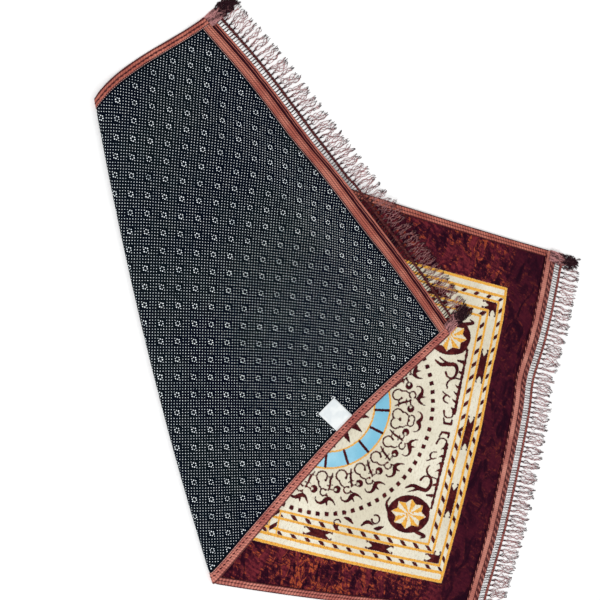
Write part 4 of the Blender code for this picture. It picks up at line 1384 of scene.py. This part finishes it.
# %% [markdown]
# Each trim hangs on a heading tape, a narrow woven band with thick and thin stretches across
# it. A flat strip would show none of them, so each tape is a closed section as the bindings are,
# with ribs only where it is thick.

# %% Tape of each trim
tape_a_finish = ribbon_finish(
    "heading_tape_a", (182, 110, 98), (212, 142, 126),
    [(0.0040, 0.5, 0.3), (-13.5, -10.4, 1.0), (-1.4, 0.0, 0.9), (0.0, 9.2, 0.75)],
    [(0.0040, 0.5, 0.0)])
tape_b_finish = ribbon_finish(
    "heading_tape_b", (184, 104, 90), (212, 130, 112),
    [(0.0030, 0.4, 0.5), (-2.0, 5.6, 1.0), (6.6, 9.0, 1.0)], [(0.0030, 0.4, 0.0)])
# the upper face of each tape, as (distance out past the binding's edge, height) in mm
TAPE_A_FACE = [(-12.8, 0.5), (-12.2, 1.0), (-10.6, 1.0), (-10.0, 1.3), (-6.0, 1.5), (-1.6, 1.3),
               (-0.8, 0.8), (4.6, 0.8), (9.0, 0.8), (9.4, 1.2), (9.9, 0.5)]
TAPE_B_FACE = [(-12.8, 0.5), (-12.2, 1.0), (0.8, 1.0), (1.4, 0.4), (5.2, 0.4), (5.8, 0.9),
               (6.6, 0.9), (7.0, 0.4), (8.8, 0.4), (9.4, 1.3), (11.6, 1.3), (12.4, 0.5)]


def make_tape(name, at_b, face, finish):
    face = [(out * MM, up) for out, up in face]
    under = np.linspace(face[-1][0] - 0.5 * MM, face[0][0] + 0.5 * MM, 6)
    v = np.arange(1 * MM, WIDTH - 1 * MM + RIB / 4, RIB / 2)
    rails = []
    for out, up in face + [(out, 0.0) for out in under]:
        outs = np.full(v.shape, out)
        rails.append((trim_place(at_b, outs, v, up * TAPE_THICK), np.stack((outs, v), -1),
                      np.full(v.shape, 1.0 if up > 0.9 else 0.0), outs))
    return ribbed(name, finish, rails, v, 0.15 * MM)


tapes = [make_tape("heading_tape_a", False, TAPE_A_FACE, tape_a_finish),
         make_tape("heading_tape_b", True, TAPE_B_FACE, tape_b_finish)]

# %% [markdown]
# Each strand leaves the chain line as a tight twist, opens into thin curly threads, and gathers
# again at its tip. The corners are fuller, because there the trim's end is turned back. Hair
# could be grown here, but a few numbers for each strand keep it thick enough to be seen, and
# chance comes from one generator with a fixed seed, so that every run gives the same fringe.

# %% Lines of yarn
TUFT_COUNT, YARN_SEED = 26, 7


def yarn_line(at_b, out, v, up, thick, tone, spread=0.0, phase=0.0, loose=0.0):
    """The points of a line of yarn and the numbers that the recipe reads."""
    return trim_place(at_b, out, v, up), dict(phase=phase, spread=spread, thick=thick,
                                              loose=loose, tone=tone)


def strand_line(at_b, k, random):
    """One strand: twisted at its root, open and curly in the middle, gathered at its tip."""
    first = TUFT_WIDTH + TUFT_GAP
    v0 = mix(first, WIDTH - first, k / (STRAND_COUNT - 1))
    length = STRAND_LENGTH[at_b] * (1 + 0.06 * math.sin(3.1 * k))
    sway = STRAND_SWAY * math.sin(2.4 * k + 0.9 * math.sin(1.7 * k))
    lean = mix(-2.0 * MM, 7.0 * MM, smooth((v0 - 40 * MM) / (160 * MM))) if at_b else 2.0 * MM
    t = np.linspace(0, 1, 24)
    wiggle = 0.9 * MM * np.sin(t * (7 + 3 * random.random()) + random.random() * 6) * smooth(t * 2)
    gather = 0.45 * random.random()
    opened = smooth((t - 0.06) / 0.3) * (1 - gather * smooth((t - 0.8) / 0.2))
    spread = mix(0.7 * MM, (1.7 + 1.7 * random.random()) * MM, opened)
    up = 1.6 * MM + 0.6 * MM * opened * random.random()
    turns = np.where(t < 0.2, t / 0.2 * 1.5, 1.5 + (t - 0.2) * (0.6 + 0.8 * random.random()))
    tone = 0.4 * opened + 0.05 + 0.15 * random.random() - 0.3 * smooth((t - 0.82) / 0.15)
    return yarn_line(at_b, CHAIN_END[at_b] - 2 * MM + (length + 2 * MM) * t,
                     v0 + sway * t * t + lean * t + wiggle, up,
                     mix(0.66 * MM, 0.46 * MM, opened), tone, spread, turns * 2 * math.pi,
                     smooth((t - 0.08) / 0.2))


def tuft_line(at_b, at_bottom, k, random):
    """One yarn of the trim's turned end, a bundle that is curled and dark at its tips."""
    across = TUFT_WIDTH * (0.04 + 0.92 * ((k * 0.618) % 1.0))
    length = TUFT_LENGTH * (0.66 + 0.34 * random.random())
    t = np.linspace(0, 1, 30)
    lean = (random.random() - 0.5) * 8 * MM
    curl_size = (1.6 + 2.4 * random.random()) * MM
    swing = 15 + 10 * random.random()
    begin = random.random() * 6
    bend = smooth((t - 0.30) / 0.5)
    out = -6 * MM + (CHAIN_END[at_b] + 4 * MM + length) * t
    out = out - curl_size * (1 - np.cos(t * swing)) * bend
    v = across + lean * t + curl_size * np.sin(t * swing + begin) * (0.2 + bend)
    v = np.maximum(v, -1.5 * MM)
    up = (1.8 + 3.4 * ((k % 5) / 5) * (1 - 0.5 * t)) * MM
    tone = 0.62 + 0.3 * np.sin(t * 9 + k) - 0.75 * smooth((t - 0.35) / 0.35)
    return yarn_line(at_b, out, WIDTH - v if at_bottom else v, up, mix(0.8 * MM, 0.5 * MM, t),
                     tone, mix(1.0 * MM, 0.7 * MM, t), t * (16 + 8 * random.random()),
                     smooth(t * 2))


def ladder_lines(at_b, random):
    """Thin threads from the tape to the chain line, in pairs that lean at end B."""
    lines = []
    pitch, apart = (5.3 * MM, 0.4) if at_b else (4.8 * MM, 0.2)
    t = np.linspace(0, 1, 9)
    out = mix(TAPE_REACH[at_b] - 1.2 * MM, CHAIN_END[at_b] - 2.5 * MM, t)
    slant = (3.4 if at_b else 0.8) * MM * (t + 0.25 * np.sin(2 * math.pi * t))
    for v0 in np.arange(TUFT_WIDTH + 2 * MM, WIDTH - TUFT_WIDTH - 1 * MM, pitch):
        off = (random.random() - 0.5) * 1.4 * MM
        wide, tone = (0.28 + 0.34 * random.random()) * MM, 0.3 * random.random()
        for side in (-1, 1):
            bow = side * (0.05 + apart * np.sin(math.pi * t)) * MM
            lines.append(yarn_line(at_b, out, v0 + off + bow + slant, 0.8 * MM, wide, tone))
    return lines


print("each end has", STRAND_COUNT, "strands, and", TUFT_COUNT, "yarns in each tuft")

# %% Strands, tufts, ladder and chain
strand_yarn = thread_finish("strand_yarn", (38, 13, 22), (190, 134, 134))
ladder_yarn = thread_finish("ladder_yarn", (44, 18, 24), (128, 96, 94))
chain_yarn = thread_finish("chain_yarn", (62, 20, 26), (178, 102, 92))
random = np.random.default_rng(YARN_SEED)
chain_v = np.arange(2 * MM, WIDTH - 2 * MM, 1.3 * MM)
fringes = {}
for label, at_b in (("a", False), ("b", True)):
    strands = [strand_line(at_b, k, random) for k in range(STRAND_COUNT)]
    tufts = [tuft_line(at_b, at_bottom, k, random) for at_bottom in (False, True)
             for k in range(TUFT_COUNT)]
    chain = [yarn_line(at_b, np.full(chain_v.shape, CHAIN_END[at_b] - 2.2 * MM), chain_v,
                       2.3 * MM, 1.3 * MM, 0.2 if at_b else 0.5, 1.5 * MM,
                       chain_v / (10.4 * MM) * 2 * math.pi)]
    fringes[label] = [
        grow(name + "_" + label, yarn, lines_mesh(name + "_lines", lines), finish,
             Plies=plies, Sides=sides, Curl=curl_mm * MM)
        for name, lines, finish, plies, sides, curl_mm in (
            ("strands", strands, strand_yarn, 4, 4, 11.0),
            ("tufts", tufts, strand_yarn, 3, 4, 8.0),
            ("ladder", ladder_lines(at_b, random), ladder_yarn, 1, 4, 0.0),
            ("chain", chain, chain_yarn, 2, 6, 0.0))]

# %% [markdown]
# The tape that shows has slanted dark and pink threads woven through it in two rows, and
# stitches over its inner edge. They are raised, so they are made by the recipe of the stitches
# and not drawn in the finish.

# %% Threads in the tape that shows, and stitches over its edge
v = np.arange(6 * MM, WIDTH - 16 * MM, 11.6 * MM)
rows_u = BODY_START - np.repeat((2.2 * MM, 6.8 * MM), len(v))
for name, finish, off in (("dark_threads_a", dark_thread, 0.0),
                          ("pink_threads_a", pink_thread, 5.8 * MM)):
    rows_v = np.concatenate((v + off, v + off + 4 * MM))
    fringes["a"].append(stitch_row(name, finish, rows_u, rows_v, TAPE_NEAR + 0.9 * TAPE_THICK,
                                   15, *mm(9.6, 2.6, 0.7)))
v = np.arange(6 * MM, WIDTH - 12 * MM, 12.6 * MM)
for name, finish, off in (("overlock_pale_a", pink_thread, 0.0),
                          ("overlock_dark_a", dark_thread, 6.3 * MM)):
    fringes["a"].append(stitch_row(name, finish, np.full(v.shape, BODY_START + 12.4 * MM), v + off,
                                   TAPE_NEAR + TAPE_THICK + 0.1 * MM, 16, *mm(10.0, 2.2, 0.9)))

# %% [markdown]
# A small white tab is sewn beside the binding on the back, and it is bare. One flat face would
# look like paper, so it is a thin closed sheet, a little wavy, in a close plain weave that two
# crossed waves give, and a short row of stitches holds it.

# %% Tab on the backing
tab_cloth = Finish("label_cloth", roughness=0.7, sheen=0.1)
flat = tab_cloth.flat()
warp, weft = ((tab_cloth.node("ShaderNodeSeparateXYZ", None, {0: flat}, axis)
               * (2 * math.pi / 0.0009)).wave() for axis in (0, 1))
soft_shade = tab_cloth.noise(flat, 60.0, 2.0)
tab_colour = tab_cloth.blend(soft_shade.within(0.35, 0.65), tint(216, 222, 224),
                             tint(230, 234, 234))
tab_cloth.give(tab_colour, soft_shade * 0.2 + 0.6, warp * weft, strength=0.3, distance=0.0002)

TAB_U, TAB_WIDE, TAB_LONG, TAB_SKEW = mm(850, 39, 46, -5)
TAB_ROWS, TAB_COLUMNS = 17, 13
across = np.linspace(0, 1, TAB_COLUMNS)
part, share = np.meshgrid(np.linspace(0, 1, TAB_ROWS), np.concatenate((across, across[::-1])),
                          indexing="ij")
thick = np.repeat((1.0, 0.0), TAB_COLUMNS)
tab_u = TAB_U + TAB_WIDE * share + TAB_SKEW * part
tab_v = WIDTH - SIDE_LEG[0] - 0.6 * MM - TAB_LONG * part
wave = 0.35 * MM * np.sin(part * 7 + share * 3) * part + 0.5 * MM * smooth(part * 3 - 2)
tab_h = -0.75 * MM - np.abs(wave) - 0.45 * MM * thick
label_tab = cloth_grid("label_tab", tab_u, tab_v, tab_h, tab_cloth.material, round_about=True)
u = TAB_U + np.linspace(2, TAB_WIDE / MM - 2, 14) * MM
tab_seam = stitch_row("tab_seam", pale_thread, u, np.full(u.shape, WIDTH - SIDE_LEG[0] - 3.0 * MM),
                      -1.35 * MM, 0, *mm(1.9, 0.7, 0.3), over=-1)

# %% [markdown]
# The rug lies on a white floor in a bright studio. A few strong lamps would give it hard edges
# and dark folds, so a white sky gives most of the light, and two wide lamps add soft shade that
# shows the pile and the swells. The plain view keeps the tints as they were chosen; a filmic
# view would turn the white floor grey.

# %% Ground, lights and what the camera sees past the rug
floor_finish = Finish("pale_floor", roughness=0.9)
ground_noise = floor_finish.noise(floor_finish.place(), 6.0, 3.0)
floor_finish.give(floor_finish.blend(ground_noise, tint(250, 250, 250), tint(255, 255, 255)))
floor_mesh = bpy.data.meshes.new("floor")
floor_mesh.from_pydata([(-6, -6, 0), (6, -6, 0), (6, 6, 0), (-6, 6, 0)], [], [(0, 1, 2, 3)])
add_piece("floor", floor_mesh, floor_finish.material)

world = bpy.data.worlds.new("studio")
world.use_nodes = True
sky = world.node_tree.nodes["Background"].inputs
sky["Color"].default_value, sky["Strength"].default_value = (1, 1, 1, 1), 0.8
bpy.context.scene.world = world
bpy.context.scene.view_settings.view_transform = "Standard"

for name, place, size, power in (("key_light", (-1.2, -1.4, 2.3), 1.1, 36),
                                 ("fill_light", (1.6, 1.6, 2.4), 2.0, 10)):
    lamp = add_object(name, bpy.data.lights.new(name, "AREA"))
    lamp.data.shape, lamp.data.size, lamp.data.energy = "SQUARE", size, power
    lamp.location = place
    lamp.rotation_mode = "QUATERNION"
    lamp.rotation_quaternion = (-Vector(place)).to_track_quat("-Z", "Y")
print("two soft lamps and a white sky")

# %% [markdown]
# Each row lists pieces, the name of a record's finish, and the plain solids that they stand
# for. Each piece is hung on the body that carries it, and those solids are hidden.

# %% What rides and what stands for which solid
rows = [([plush_face], "plush_pile", ["pile_cloth"]),
        ([backing_felt], "backing_felt", ["backing"]),
        (grip_dots, "backing_felt", []),
        (bindings[:1], "ribbed_binding", ["side_binding_top"]),
        (bindings[1:2], "ribbed_binding", ["side_binding_bottom"]),
        (bindings[2:3], "ribbed_binding", ["end_binding_a"]),
        (bindings[3:], "ribbed_binding", ["end_binding_b"]),
        (stitches, "ribbed_binding", []),
        (tapes[:1] + fringes["a"], "fringe_yarn", ["fringe_trim_a"]),
        (tapes[1:] + fringes["b"], "fringe_yarn", ["fringe_trim_b"]),
        ([label_tab], "label_cloth", ["label"]),
        ([tab_seam], "label_cloth", [])]
for pieces, slot, nodes in rows:
    for piece in pieces:
        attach(piece, "root")
        if nodes:
            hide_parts(*nodes)
print("pieces that ride:", sum(len(pieces) for pieces, _, _ in rows))

# %% Count of the pieces of cloth
print("declared", 2 + len(bindings) + len(tapes) + 1, "pieces of cloth")
